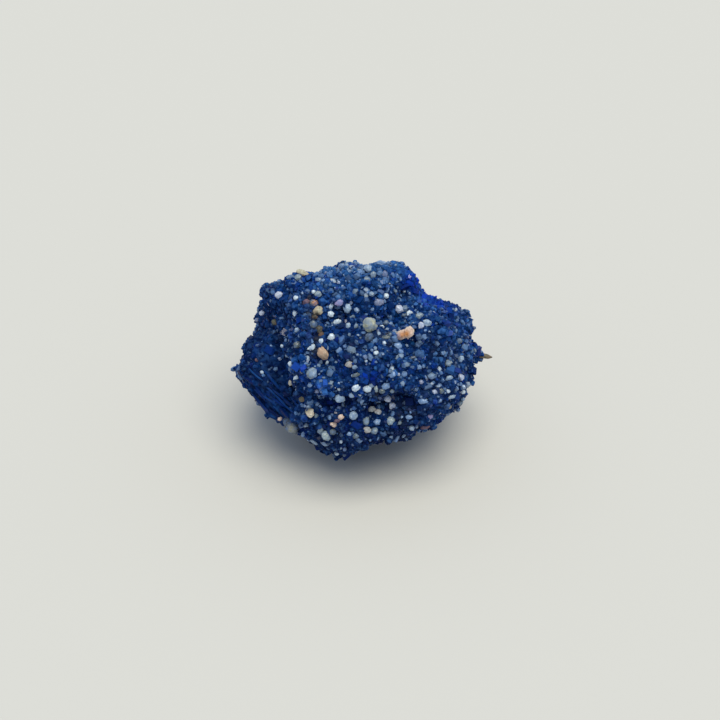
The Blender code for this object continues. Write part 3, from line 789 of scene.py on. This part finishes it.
@cache
def mottle_group():
    """Uneven colour: a tint darkened and lightened in patches and in fine flecks."""
    colour_kind, number = "NodeSocketColor", "NodeSocketFloat"
    tree, nodes, given, out = group(
        "mineral_mottle",
        [
            ("Tint", colour_kind, (0.5, 0.5, 0.5, 1)),
            ("Stain", colour_kind, (0.02, 0.05, 0.2, 1)),
            ("Patch Scale", number, 700.0),
            ("Fleck Scale", number, 6000.0),
            ("Depth", number, 0.4),
            ("Stain Amount", number, 0.3),
        ],
        [("Color", colour_kind), ("Mask", number)],
    )
    shade_range, stain_range = (0.36, 0.64), (0.42, 0.62)
    place = nodes.add("ShaderNodeTexCoord").outputs["Object"]
    patch = nodes.noise(place, given["Patch Scale"], 3.0)
    fleck = nodes.noise(place, given["Fleck Scale"], 4.0)
    both = nodes.maths("ADD", nodes.maths("MULTIPLY", patch, 0.5), nodes.maths("MULTIPLY", fleck, 0.5))
    mask = nodes.spread(both, *shade_range)
    shade = nodes.maths("MULTIPLY", given["Depth"], nodes.maths("SUBTRACT", 1.0, mask))
    light = nodes.maths("SUBTRACT", 1.0, shade)
    grey = nodes.add("ShaderNodeCombineColor", i0=light, i1=light, i2=light).outputs[0]
    shaded = nodes.mix(1.0, given["Tint"], grey, "MULTIPLY")
    # The stain mixes in real stains, and on the azurite coat partly painted highlight.
    stain_and_sheen = nodes.maths("MULTIPLY", given["Stain Amount"], nodes.spread(patch, *stain_range))
    nodes.feed(out["Color"], nodes.mix(stain_and_sheen, shaded, given["Stain"]))
    nodes.feed(out["Mask"], mask)
    return tree


@cache
def facet_group():
    """Fine growth steps and pits on a crystal face or a worn grain, as a height and a roughness."""
    number = "NodeSocketFloat"
    tree, nodes, given, out = group(
        "facet_wear",
        [
            ("Step Scale", number, 9000.0),
            ("Pit Scale", number, 16000.0),
            ("Pit Share", number, 0.5),
            ("Smoothest", number, 0.2),
            ("Roughest", number, 0.5),
        ],
        [("Height", number), ("Roughness", number)],
    )
    place = nodes.add("ShaderNodeTexCoord").outputs["Object"]
    haze_range, haze_scale = (0.35, 0.65), 0.2
    steps = nodes.add(
        "ShaderNodeTexWave", Vector=place, Scale=given["Step Scale"], Distortion=6.0, Detail=2.0
    ).outputs["Fac"]
    pits = nodes.add("ShaderNodeTexVoronoi", Vector=place, Scale=given["Pit Scale"]).outputs["Distance"]
    haze = nodes.noise(place, nodes.maths("MULTIPLY", given["Pit Scale"], haze_scale))
    nodes.feed(out["Height"], nodes.mix(given["Pit Share"], steps, pits))
    nodes.feed(out["Roughness"], nodes.spread(haze, *haze_range, given["Smoothest"], given["Roughest"]))
    return tree


def place_group(nodes, tree, inputs):
    node = nodes.tree.nodes.new("ShaderNodeGroup")
    node.node_tree = tree
    for name, value in inputs.items():
        nodes.feed(node.inputs[name], value)
    return node.outputs


@cache
def finish(name):
    """A mineral's material: each grain's own tint, mottled and worn by the groups."""
    mottle, wear_values, bump, bump_depth, constants = FINISHES[name]
    material = bpy.data.materials.new(name)
    material.use_nodes = True
    nodes = Nodes(material.node_tree)
    shader = material.node_tree.nodes["Principled BSDF"]
    tint = nodes.add("ShaderNodeAttribute")
    tint.attribute_name = "grain_tint"
    given = {"Tint": tint.outputs["Color"], **dict(zip(MOTTLE_SOCKETS, mottle))}
    mottled = place_group(nodes, mottle_group(), given)
    worn = place_group(nodes, facet_group(), dict(zip(WEAR_SOCKETS, wear_values)))
    relief = nodes.add("ShaderNodeBump", Strength=bump, Distance=bump_depth * MM, Height=worn["Height"])
    nodes.feed(shader.inputs["Base Color"], mottled["Color"])
    nodes.feed(shader.inputs["Roughness"], worn["Roughness"])
    nodes.feed(shader.inputs["Normal"], relief.outputs[0])
    for socket, value in constants.items():
        shader.inputs[socket].default_value = value
    return material


# Where the grains go.


def groundmass():
    return bpy.data.objects["nodule_groundmass"]


def surface_tree(mesh):
    return BVHTree.FromPolygons([v.co for v in mesh.vertices], [p.vertices for p in mesh.polygons])


@cache
def groundmass_tree():
    return surface_tree(groundmass().data)


def seen_point(tree, x, y, tries=40, step=0.01):
    """Where the line of sight through a pixel meets the mesh in the tree: (place, normal).

    Past the mesh's edge, it is the nearest place inside it.
    """
    for _ in range(tries):
        start, direction = sight_line(x, y)
        place, normal, _, _ = tree.ray_cast(start, direction)
        if place is not None:
            return place, normal
        x, y = x + (MIDDLE_PIXEL - x) * step, y + (MIDDLE_PIXEL - y) * step
    raise RuntimeError(f"the line of sight through ({x:.0f}, {y:.0f}) misses the nodule")


@cache
def named_site(x, y):
    """Where a named grain sits on the groundmass, found along its line of sight: (place, normal)."""
    return seen_point(groundmass_tree(), x, y)


def rows_of(table):
    return [row for rows in table.values() for row in rows]


@cache
def pits():
    """The hollows as (centre, radius, depth), in metres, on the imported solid."""
    tree = surface_tree(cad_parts[SOLID].data)
    return [(seen_point(tree, x, y)[0], radius * MM, depth * MM) for x, y, radius, depth in PITS.values()]


def pit_depth(place):
    """How deep the hollows are at a place, and how far into one it lies, from 0 to 1."""
    deep, share, reach = 0.0, 0.0, 2.5
    for centre, radius, depth in pits():
        gap = (Vector(place) - centre).length / radius
        if gap < reach:
            near = math.exp(-gap * gap)
            deep, share = deep + depth * near, max(share, near)
    return deep, share


@cache
def grain_sites(gap, seed, blocked):
    """Points of the groundmass about gap apart or more, with their normals.

    They keep clear of the blocked spheres, given as (place, radius) pairs, and of the ledges' corner,
    the spur's tip and the floor.
    """
    crowding, gaps, corner, tip, lowest = 5.0, (0.86, 1.14), 0.3, 1.2, 0.12
    points, normals, triangles = mesh_arrays(groundmass().data)
    corners = points[triangles]
    first, second, third = corners.transpose(1, 0, 2)
    areas = np.linalg.norm(np.cross(second - first, third - first), axis=1) / 2
    rng = np.random.default_rng(seed)
    count = int(crowding * areas.sum() / gap**2)
    picks = rng.choice(len(triangles), count, p=areas / areas.sum())
    weights = rng.dirichlet((1, 1, 1), count)
    places = np.einsum("nk,nki->ni", weights, corners[picks])
    facing = np.einsum("nk,nki->ni", weights, normals[triangles[picks]])
    facing /= np.linalg.norm(facing, axis=1, keepdims=True)
    tree = kdtree.KDTree(count)
    for number, place in enumerate(places):
        tree.insert(place, number)
    tree.balance()
    free = np.ones(count, bool)
    for place, radius in blocked:
        for _, number, _ in tree.find_range(place, radius):
            free[number] = False
    kept = []
    for number in range(count):
        if not free[number]:
            continue
        kept.append(number)
        for _, other, _ in tree.find_range(places[number], gap * rng.uniform(*gaps)):
            free[other] = False
    rim_x = (places[kept][:, 0] - RIM_CENTRE.x) / MM
    inside = (rim_x > LEDGE_START.x + corner) & (rim_x < SPUR[0][0] + tip)
    kept = np.array(kept)[inside & (places[kept][:, 2] > lowest * MM)]
    return places[kept], facing[kept]


def blocked_spots(margin):
    """Spheres, as (place, radius) pairs, that smaller grains keep out of, with a margin in mm.

    They hold the large grains and crystals, and the named grains' lines of sight.
    """
    back_share, front_share = 0.42, 0.24
    spots = [(tuple(place), (back_share * size + margin) * MM) for place, _, size, _, _ in hidden_grains()]
    for table, steps in ((NAMED_GRAINS, (0, 0.5, 1.0)), (NAMED_CRYSTALS, (0,))):
        for x, y, long, wide, *_ in rows_of(table):
            place, _ = named_site(x, y)
            towards_viewer = -sight_line(x, y)[1]
            radius = (front_share * (long + wide) + margin) * MM
            spots += [(tuple(place + towards_viewer * ahead * MM), radius) for ahead in steps]
    return tuple(spots)


@cache
def hidden_grains():
    """Large grains on the back: [(place, normal, width in mm, tint name, turn in degrees)]."""
    front, lowest, apart = -1.5, 0.8, 1.1
    mean, variety, smallest, largest = 0.72, 0.28, 0.45, 1.35
    rng = random.Random(41)
    points, normals, _ = mesh_arrays(groundmass().data)
    tints = [name for name, times in BACK_MIX.items() for _ in range(times)]
    made = []
    while len(made) < settings().sand.hidden:
        number = rng.randrange(len(points))
        place, normal = Vector(points[number]), Vector(normals[number])
        if to_rim(points[number]).z > front or points[number][2] < lowest * MM:
            continue
        if any((place - other[0]).length < apart * MM for other in made):
            continue
        size = min(max(rng.lognormvariate(math.log(mean), variety), smallest), largest)
        made.append((place, normal, size, rng.choice(tints), rng.uniform(0, 360)))
    return made


@cache
def coarse_grains():
    """The larger grains, as kinds_of gives them."""
    crystals = settings().crystals
    places, normals = grain_sites(crystals.gap * MM, crystals.seed, blocked_spots(0.20))
    return kinds_of(places, normals, crystals.seed + 1)


@cache
def fine_grains():
    """The smaller grains, as kinds_of gives them, clear of the middles of the larger ones."""
    crystals = settings().crystals
    taken = tuple((tuple(place), 0.15 * MM) for place in coarse_grains()[0])
    places, normals = grain_sites(crystals.fine_gap * MM, crystals.seed + 2, blocked_spots(0.07) + taken)
    return kinds_of(places, normals, crystals.seed + 3, 0.80)


def ledge_wave(rim_point):
    """The ledges at a point: how high, from -1 to 1, and how strongly they show, from 0 to 1."""
    bend, bend_length = 0.5, 1.6
    line = LEDGE_END - LEDGE_START
    along = line.normalized()
    from_start = Vector(rim_point[:2]) - LEDGE_START
    across = along.x * from_start.y - along.y * from_start.x
    near = place_strength({"shelf": SMOOTH_PLACES["left_shelf"]}, rim_point)
    waver = bend * noise.noise(Vector((from_start.dot(along) / bend_length, across, 0)))
    return math.sin(math.tau * (across / LEDGE_SPACING + waver)), min(near, 1)


def azurite_at(place):
    """How pale the azurite is at a place (partly painted light and shade), how vivid, how massive and how
    earthy, each about 0 to 1.
    """
    clot_from, smear_from, front = 0.22, 0.36, 4.0
    rim_point = to_rim(place)
    swirl = uneven(rim_point, *SWIRL) + 0.8 * uneven(rim_point, *FINE_SWIRL)
    _, pit = pit_depth(place)
    wave, ledge = ledge_wave(rim_point)
    # The tone takes painted highlight and painted shade from the named places.
    tone = USUAL_TONE + place_strength(TONE_LIGHT_AND_SHADE_PLACES, rim_point) + SWIRL_TONE * swirl
    # The hollows are darkened here as painted shade.
    tone += LEDGE_TONE * wave * ledge - PIT_SHADE * pit
    clot = uneven(rim_point, *CLOT)
    patchy = min(max(0.75 + 1.3 * uneven(rim_point, *PATCHY), 0), 1)
    depth = math.exp(-((min(rim_point.z - front, 0) / front) ** 2)) if rim_point.z > 0 else 1.0
    vivid = place_strength(VIVID_PLACES, rim_point) * patchy * depth + 1.1 * max(clot - clot_from, 0)
    massive = place_strength(SMOOTH_PLACES, rim_point) * (0.55 + 0.45 * patchy) * depth
    smear = uneven(rim_point, *SMEAR)
    earth = place_strength(EARTH_PLACES, rim_point) * (0.7 + 0.9 * smear) + 1.2 * max(smear - smear_from, 0)
    return tone, vivid, min(massive, 1), min(max(earth, 0), 1)


def kinds_of(places, normals, seed, sandiness=1.0):
    """The grains at these places, fewer where the azurite is massive: (places, normals, is sand, azurite).

    Azurite holds the tone, vividness and earthiness of each.
    """
    patch_share, least_share, massive_tone, tone_spread, vivid_spread = 0.16, 0.012, 0.3, 0.13, 0.08
    rng = np.random.default_rng(seed)
    share = settings().sand.share
    sand, azurite, kept = [], [], []
    for number, place in enumerate(places):
        tone, vivid, massive, earth = azurite_at(place)
        if rng.random() < massive:
            continue
        rim_point = to_rim(place)
        patches = uneven(rim_point, *SANDY) + 0.9 * uneven(rim_point, *FINE_SANDY)
        chance = share + place_strength(SAND_PLACES, rim_point) + patch_share * patches
        sand.append(rng.random() < max(chance, least_share) * sandiness)
        vivid = vivid * rng.uniform(0.15, 1.25) + rng.normal(0, vivid_spread)
        tone += rng.normal(0, tone_spread) - massive_tone * massive
        azurite.append((tone, vivid, earth * rng.uniform(0.3, 1.2)))
        kept.append(number)
    return places[kept], normals[kept], np.array(sand), np.clip(azurite, 0, 1)


def azurite_tints(azurite, rng, veil=1.0):
    """Azurite colours from rows of tone, vividness and earthiness, each a little off its neighbours."""
    crystals = settings().crystals
    stops = (crystals.deep, crystals.blue, crystals.bright, crystals.vivid)
    deep, blue, bright, purest = (np.array(stop) for stop in stops)
    tone, vivid, earth = (column[:, None] for column in np.clip(azurite, 0, 1).T)
    lower = np.clip(tone * 2, 0, 1)
    tints = deep + (blue - deep) * lower
    tints += (bright - tints) * np.clip(tone * 2 - 1, 0, 1)
    tints += (purest * (0.45 + 0.55 * lower) - tints) * vivid
    hue = rng.random(tone.shape) / max(veil, 0.01)
    darker = tone < PALE_TONE
    tints *= np.where((hue < HUE_SHARE) & darker, GREENISH, 1.0)
    tints *= np.where((hue > HUE_SHARE) & (hue < 2 * HUE_SHARE) & darker, VIOLET, 1.0)
    veiled = rng.random(tone.shape) < veil * crystals.veiled * (0.35 + 1.3 * tone) * (1 - vivid)
    tints += (np.array(crystals.veil) - tints) * rng.uniform(0.25, 1, tone.shape) * veiled
    tints += (np.array(crystals.earth) * (0.5 + tone) - tints) * earth * 0.85
    tints *= rng.normal(1, 0.10 * veil, tone.shape)
    return np.clip(tints, 0.0005, 0.9)


def sand_tints(count, fade, rng):
    """Sand colours drawn from the mix, each veiled by azurite dust up to the share fade."""
    lightness, variety, dust_light = 0.81, 0.15, 1.2
    names = list(SAND_MIX)
    weights = np.array([SAND_MIX[n] for n in names])
    picks = rng.choice(len(names), count, p=weights / weights.sum())
    tints = np.array([TINTS[n] for n in names])[picks]
    tints = tints * rng.normal(lightness, variety, (count, 1))
    dust = fade * rng.random((count, 1)) ** 1.3
    tints = tints + (np.array(settings().crystals.bright) * dust_light - tints) * dust
    return np.clip(tints, 0.01, 0.92)


def scatter(name, shapes, places, normals, widths, sink, tints, rng, material, sharp=None):
    """Sets a grain at each place, moved along its normal by a share of its width, as one piece."""
    count = len(places)
    picks = rng.integers(0, len(shapes), count)
    sizes = widths[:, None] * rng.uniform(0.75, 1.25, (count, 3))
    turns = turn_matrices(normals, rng.uniform(0, math.tau, count), rng.uniform(0, math.pi, count))
    places = places + normals * (widths * rng.uniform(*sink, count))[:, None]
    points, faces, colours = join_grains(shapes, picks, places, turns, sizes, tints)
    floor_gap = 0.01 * MM
    points[:, 2] = np.maximum(points[:, 2], CAD_BOX[0].z + floor_gap)
    obj = new_piece(name, points, faces, material, sharp)
    tint_points(obj, colours)
    return obj


def grain_widths(mean, count, rng, variety=0.26, least=0.5, most=1.55):
    return mean * MM * np.clip(np.exp(rng.normal(0, variety, count)), least, most)


# Operators.


class BuildOperator:
    bl_options = {"REGISTER", "UNDO"}


class AZURITE_OT_stage(BuildOperator, bpy.types.Operator):
    """Set the floor, the surroundings, the light overhead and the camera"""

    bl_idname = "azurite.stage"
    bl_label = "Stage"

    def execute(self, context):
        floor_reach, floor_roughness, lamp_height = 1.5, 0.9, 0.5
        stage = settings().stage
        world = bpy.data.worlds.new("pale_room")
        world.use_nodes = True
        room = Nodes(world.node_tree)
        seen = room.add("ShaderNodeLightPath").outputs["Is Camera Ray"]
        tone = room.mix(seen, (*stage.surroundings, 1), (*stage.backdrop, 1))
        room.feed(world.node_tree.nodes["Background"].inputs["Color"], tone)
        context.scene.world = world

        bm = bmesh.new()
        bmesh.ops.create_grid(bm, x_segments=1, y_segments=1, size=floor_reach)
        mesh = bpy.data.meshes.new("floor")
        bm.to_mesh(mesh)
        bm.free()
        material = bpy.data.materials.new("pale_paper")
        material.use_nodes = True
        shader = material.node_tree.nodes["Principled BSDF"]
        shader.inputs["Base Color"].default_value = (*stage.floor, 1)
        shader.inputs["Roughness"].default_value = floor_roughness
        shader.inputs["Specular IOR Level"].default_value = 0.0
        mesh.materials.append(material)
        floor = bpy.data.objects.new("floor", mesh)
        context.scene.collection.objects.link(floor)

        light = bpy.data.lights.new("overhead", "SUN")
        light.energy = stage.sun
        light.color = stage.glow
        light.angle = stage.spread
        lamp = bpy.data.objects.new("overhead", light)
        lamp.location = (0, 0, lamp_height)
        lamp.rotation_euler = (stage.lean, 0, stage.turn)
        context.scene.collection.objects.link(lamp)

        camera = bpy.data.cameras.new("camera")
        camera.lens = stage.lens
        camera.sensor_width = SENSOR
        camera.clip_start = MM
        viewer = bpy.data.objects.new("camera", camera)
        viewer.location, direction = sight_line(FRAME_SIDE / 2, FRAME_SIDE / 2)
        viewer.rotation_euler = direction.to_track_quat("-Z", "Y").to_euler()
        context.scene.collection.objects.link(viewer)
        context.scene.camera = viewer
        context.scene.view_settings.view_transform = "Standard"
        return {"FINISHED"}


class AZURITE_OT_groundmass(BuildOperator, bpy.types.Operator):
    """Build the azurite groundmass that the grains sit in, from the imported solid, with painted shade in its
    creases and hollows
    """

    bl_idname = "azurite.groundmass"
    bl_label = "Groundmass"

    speck_size, smoothing = 0.3, 0.75
    knob_shift, knob_steepness, crease = Vector((5, 1, 7)), 2.2, 0.75
    spur_stub, spur_pull = 1.3, 0.85

    def execute(self, context):
        choice = settings().groundmass
        points, normals, triangles = mesh_arrays(self.softened_solid(context, choice.voxel * MM))
        azurite, crease_shade = np.zeros((len(points), 3)), np.zeros(len(points))
        for number, (point, normal) in enumerate(zip(points, normals)):
            tone, vivid, massive, earth = azurite_at(point)
            speck = noise.noise(Vector(point) / MM / self.speck_size)
            azurite[number] = tone + 0.2 * speck, vivid * (0.6 + 0.9 * speck), earth
            step, crease_shade[number] = self.relief(point, massive)
            points[number] = point + normal * (step * MM - pit_depth(point)[0])
        self.pull_in_spur(points)
        points[:, 2] = np.maximum(points[:, 2], CAD_BOX[0].z)
        obj = new_piece("nodule_groundmass", points, triangles, finish("azurite_cement"), math.pi)
        rng = np.random.default_rng(2)
        tints = azurite_tints(azurite, rng, veil=0.0)
        # Mixes the crease colour in as painted shade, most between the lumps and in the creases.
        tint_points(obj, tints + (np.array(choice.cement_and_shade) - tints) * crease_shade[:, None])
        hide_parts(SOLID)
        for made in (groundmass_tree, named_site, hidden_grains, grain_sites, coarse_grains, fine_grains):
            made.cache_clear()
        return {"FINISHED"}

    def softened_solid(self, context, voxel):
        """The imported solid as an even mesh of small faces, a little smoothed."""
        copy = bpy.data.objects.new("solid_copy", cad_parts[SOLID].data.copy())
        context.scene.collection.objects.link(copy)
        remesh = copy.modifiers.new("voxels", "REMESH")
        remesh.mode = "VOXEL"
        remesh.voxel_size = voxel
        smooth = copy.modifiers.new("soften", "SMOOTH")
        smooth.factor = 0.5
        smooth.iterations = 5
        evaluated = copy.evaluated_get(context.evaluated_depsgraph_get())
        mesh = bpy.data.meshes.new_from_object(evaluated)
        bpy.data.objects.remove(copy)
        return mesh

    def relief(self, point, massive):
        """How far the groundmass stands out at a point, in mm, and how much painted shade darkens it there,
        from 0 to 1.
        """
        choice = settings().groundmass
        place = Vector(point) / MM
        lump = 0.5 - noise.voronoi(place / choice.lump)[0][0]
        near, next_near = noise.voronoi(place / choice.knob + self.knob_shift)[0][:2]
        knob = min((next_near - near) * self.knob_steepness, 1) - self.crease
        wave, ledge = ledge_wave(to_rim(point))
        roughness = 1 - self.smoothing * massive
        step = roughness * (choice.relief * lump + choice.knob_relief * knob) + choice.ledge * wave * ledge
        step += choice.fill * massive - choice.inset
        return step, roughness * min(max(0.35 - lump - 0.5 * knob, 0), 1)

    def pull_in_spur(self, points):
        """Shortens the spur, because the flake stands for most of it."""
        past = points[:, 0] - RIM_CENTRE.x - (SPUR[0][0] + self.spur_stub) * MM
        points[:, 0] -= np.maximum(past, 0) * self.spur_pull


class AZURITE_OT_crystals(BuildOperator, bpy.types.Operator):
    """Grow the azurite crystals and the azurite coats of the sand between them"""

    bl_idname = "azurite.crystals"
    bl_label = "Azurite crystals"

    def execute(self, context):
        choice = settings().crystals
        chance = random.Random(choice.seed)
        rng = np.random.default_rng(choice.seed + 10)
        places, normals, sand, azurite = coarse_grains()
        coated = rng.random(len(places)) < choice.coated - 0.5 * azurite[:, 1]
        bright = rng.random(len(places)) < choice.glinting
        kinds = (
            ("azurite_crystals", ~coated & ~bright, crystal_shape, 6, 0.95, "azurite_crystal", None),
            ("azurite_bright_crystals", bright, crystal_shape, 5, 0.85, "azurite_bright_face", None),
            ("azurite_coated_grains", coated & ~bright, sand_shape, 16, 1.08, "azurite_coat", ROUNDED),
        )
        for name, kind, shape, detail, size, look, sharp in kinds:
            mine = kind & ~sand
            shapes = [shape(chance, detail) for _ in range(SHAPES)]
            widths = grain_widths(choice.coarse * size, mine.sum(), rng)
            tints = azurite_tints(azurite[mine], rng)
            scatter(
                name, shapes, places[mine], normals[mine], widths, (-0.28, 0.06),
                tints, rng, finish(look), sharp,
            )
        places, normals, sand, azurite = fine_grains()
        shapes = [sand_shape(chance, 8) for _ in range(SHAPES)]
        widths = grain_widths(choice.fine, (~sand).sum(), rng)
        tints = azurite_tints(azurite[~sand] * (0.8, 1, 1) + (0.06, 0, 0), rng, veil=0.7)
        scatter(
            "fine_azurite_grains", shapes, places[~sand], normals[~sand], widths, (-0.2, 0.2),
            tints, rng, finish("azurite_crystal"),
        )
        self.large_crystals(chance, rng)
        return {"FINISHED"}

    def large_crystals(self, chance, rng):
        """Sets the larger crystals that stand out one by one, flat on the groundmass."""
        flatness = 0.6
        chosen = rows_of(NAMED_CRYSTALS)
        sites = [named_site(*row[:2]) for row in chosen]
        normals = np.array([normal for _, normal in sites])
        sizes = np.array([(long, wide, flatness * wide) for _, _, long, wide, *_ in chosen]) * MM
        points, faces, colours = join_grains(
            [crystal_shape(chance, 5) for _ in chosen],
            np.arange(len(chosen)),
            np.array([place for place, _ in sites]),
            turn_matrices(normals, np.radians([c[4] for c in chosen]), np.zeros(len(chosen))),
            sizes,
            azurite_tints(np.array([(*c[5:], 0.0) for c in chosen]), rng, veil=0.0),
        )
        obj = new_piece("large_azurite_crystals", points, faces, finish("azurite_crystal"))
        tint_points(obj, colours)


class AZURITE_OT_sand(BuildOperator, bpy.types.Operator):
    """Set the sand grains between the crystals"""

    bl_idname = "azurite.sand"
    bl_label = "Sand"

    def execute(self, context):
        choice = settings().sand
        chance = random.Random(21)
        rng = np.random.default_rng(22)
        kinds = (
            ("quartz_sand", coarse_grains(), choice.size, 17, (-0.12, 0.16), choice.fade),
            ("fine_quartz_sand", fine_grains(), choice.size * 0.62, 12, (-0.1, 0.25), choice.fine_fade),
        )
        for name, (places, normals, sand, _), width, corners, sink, fade in kinds:
            shapes = [sand_shape(chance, corners) for _ in range(SHAPES)]
            widths = grain_widths(width, sand.sum(), rng)
            tints = sand_tints(sand.sum(), fade, rng)
            scatter(
                name, shapes, places[sand], normals[sand], widths, sink,
                tints, rng, finish("quartz_sand_grain"), ROUNDED,
            )
        return {"FINISHED"}


class AZURITE_OT_large_grains(BuildOperator, bpy.types.Operator):
    """Set the larger grains that stand out one by one"""

    bl_idname = "azurite.large_grains"
    bl_label = "Large grains"

    def execute(self, context):
        narrowness, flatness = 0.82, 0.72
        chance = random.Random(5)
        shapes = [sand_shape(chance, 36, worn=2) for _ in range(14)]
        shapes = [(points / np.ptp(points, axis=0), faces) for points, faces in shapes]
        grains = []
        for x, y, long, wide, turn, tint, lift in rows_of(NAMED_GRAINS):
            towards_viewer = -sight_line(x, y)[1]
            place = named_site(x, y)[0] + towards_viewer * ((lift - SUNK) * wide * MM)
            grains.append((place, towards_viewer, long, wide, turn, tint, 0.0))
        for place, normal, size, tint, turn in hidden_grains():
            grains.append((place, normal, size, size * narrowness, turn, tint, BACK_LIFT - SUNK))
        for piece, slot, look, stained in (
            ("large_quartz_grains", "quartz_sand", "quartz_sand_grain", False),
            ("large_stained_grains", "ochre_sand", "iron_stained_grain", True),
        ):
            mine = [grain for grain in grains if (grain[5] in STAINED) == stained]
            places, normals, longs, wides, angles, names, lifts = (np.array(column) for column in zip(*mine))
            sizes = np.stack([longs, wides, flatness * wides], axis=1) * MM
            places = places + normals * (lifts * (wides * MM))[:, None]
            turns = turn_matrices(normals, np.radians(angles), np.zeros(len(mine)))
            tints = np.array([TINTS[name] for name in names])
            picks = np.arange(len(mine)) % len(shapes)
            points, faces, colours = join_grains(shapes, picks, places, turns, sizes, tints)
            self.blotch(points, colours)
            obj = new_piece(piece, points, faces, finish(look), CRISP)
            tint_points(obj, colours)
        return {"FINISHED"}

    def blotch(self, points, colours):
        """Tints the points near each blotch's line of sight, fading out towards its rim."""
        reach, thickness = 1.5, 1.2
        for x, y, radius, tint, strength in BLOTCHES.values():
            sight = np.array(sight_line(x, y)[1])
            offset = points - np.array(seen_point(groundmass_tree(), x, y)[0])
            depth = offset @ sight
            across = np.linalg.norm(offset - depth[:, None] * sight, axis=1) / (radius * MM)
            share = strength * (np.clip(reach - across, 0, 1) * (abs(depth) < thickness * MM))[:, None]
            colours += (np.array(TINTS[tint]) - colours) * share


class AZURITE_OT_blades(BuildOperator, bpy.types.Operator):
    """Grow the slender parallel blades along the ledge at the lower left"""

    bl_idname = "azurite.blades"
    bl_label = "Ledge blades"

    first_gap, slant, last_gap = 0.25, 0.5, 0.8
    lengths, shortest, overlaps = (1.2, 2.6), 0.4, (0.55, 0.9)
    stray, splay, lift = 0.08, 0.17, 0.12

    def execute(self, context):
        chance = random.Random(11)
        rng = np.random.default_rng(12)
        line = LEDGE_END - LEDGE_START
        along_edge, inward = line.normalized(), Vector((-line.y, line.x)).normalized()
        points, faces, tints = [], [], []
        for offset, thick, tone, vivid in LEDGE_ROWS:
            reach = self.first_gap + self.slant * offset
            while reach < line.length - self.last_gap:
                length = chance.uniform(*self.lengths)
                near = LEDGE_START + along_edge * reach + inward * (offset + chance.gauss(0, self.stray))
                far = near + along_edge * min(length, line.length - reach)
                far += inward * chance.gauss(0, self.splay)
                reach += length * chance.uniform(*self.overlaps)
                first, normal = seen_point(groundmass_tree(), *pixel_of(near))
                last, other = seen_point(groundmass_tree(), *pixel_of(far))
                along = last - first
                if along.length < self.shortest * MM:
                    continue
                up = (normal + other).normalized()
                across = along.cross(up).normalized()
                up = across.cross(along).normalized()
                shape_points, shape_faces = sand_shape(chance, 16)
                deep = thick * chance.uniform(0.7, 1.1) * MM
                sized = shape_points * (along.length * 1.04, deep, deep)
                turned = sized @ np.array((along.normalized(), across, up))
                faces.append(shape_faces + sum(len(p) for p in points))
                points.append(turned + np.array((first + last) / 2 + up * self.lift * deep))
                shade = (tone + chance.gauss(0, 0.09), vivid * chance.uniform(0.2, 1.6), 0.0)
                tints.append(azurite_tints(np.tile(shade, (len(shape_points), 1)), rng, veil=0.0))
        points, faces, tints = (np.vstack(rows) for rows in (points, faces, tints))
        obj = new_piece("ledge_blades", points, faces, finish("azurite_crystal"))
        tint_points(obj, tints)
        return {"FINISHED"}


class AZURITE_OT_spur(BuildOperator, bpy.types.Operator):
    """Set the flake of sandy rock that sticks out at the right"""

    bl_idname = "azurite.spur"
    bl_label = "Spur"

    def execute(self, context):
        corners, flatness, uneven_radius = 9, 0.75, (0.8, 1.12)
        chance = random.Random(3)
        bm = bmesh.new()
        rings = []
        for x, up, out, radius in SPUR:
            ring = []
            for corner in range(corners):
                turn = math.tau * corner / corners
                wide = radius * chance.uniform(*uneven_radius)
                place = from_rim(x, up + flatness * wide * math.sin(turn), out + wide * math.cos(turn))
                ring.append(bm.verts.new(place))
            rings.append(ring)
        for ring, following in zip(rings, rings[1:]):
            for corner in range(corners):
                after = (corner + 1) % corners
                bm.faces.new((ring[corner], ring[after], following[after], following[corner]))
        bm.faces.new(rings[0][::-1])
        bm.faces.new(rings[-1])
        halve_edges(bm)
        bmesh.ops.triangulate(bm, faces=bm.faces)
        bmesh.ops.recalc_face_normals(bm, faces=bm.faces)
        bm.verts.index_update()
        points = np.array([v.co for v in bm.verts])
        faces = np.array([[v.index for v in f.verts] for f in bm.faces])
        bm.free()
        obj = new_piece("spur_flake", points, faces, finish("iron_stained_grain"), CRISP)
        tint_points(obj, np.tile(SPUR_TINT, (len(points), 1)))
        return {"FINISHED"}


STEPS = ("stage", "groundmass", "large_grains", "blades", "spur", "crystals", "sand")


class AZURITE_PT_panel(bpy.types.Panel):
    bl_idname = "AZURITE_PT_panel"
    bl_label = "Azurite Nodule"
    bl_space_type = "VIEW_3D"
    bl_region_type = "UI"
    bl_category = "Azurite"

    def draw(self, context):
        for step in STEPS:
            self.layout.operator(f"azurite.{step}")
        for part in ("groundmass", "crystals", "sand", "stage"):
            box = self.layout.box()
            chosen = getattr(settings(), part)
            for name in chosen.__annotations__:
                box.prop(chosen, name)


CLASSES = (
    GroundmassSettings, CrystalSettings, SandSettings, StageSettings, NoduleSettings,
    AZURITE_OT_stage, AZURITE_OT_groundmass, AZURITE_OT_crystals, AZURITE_OT_sand,
    AZURITE_OT_large_grains, AZURITE_OT_blades, AZURITE_OT_spur, AZURITE_PT_panel,
)


def register():
    for cls in CLASSES:
        bpy.utils.register_class(cls)
    bpy.types.Scene.azurite_nodule = bpy.props.PointerProperty(type=NoduleSettings)


def unregister():
    del bpy.types.Scene.azurite_nodule
    for cls in reversed(CLASSES):
        bpy.utils.unregister_class(cls)


def main():
    register()
    for step in STEPS:
        getattr(bpy.ops.azurite, step)()


if __name__ == "__main__":
    main()
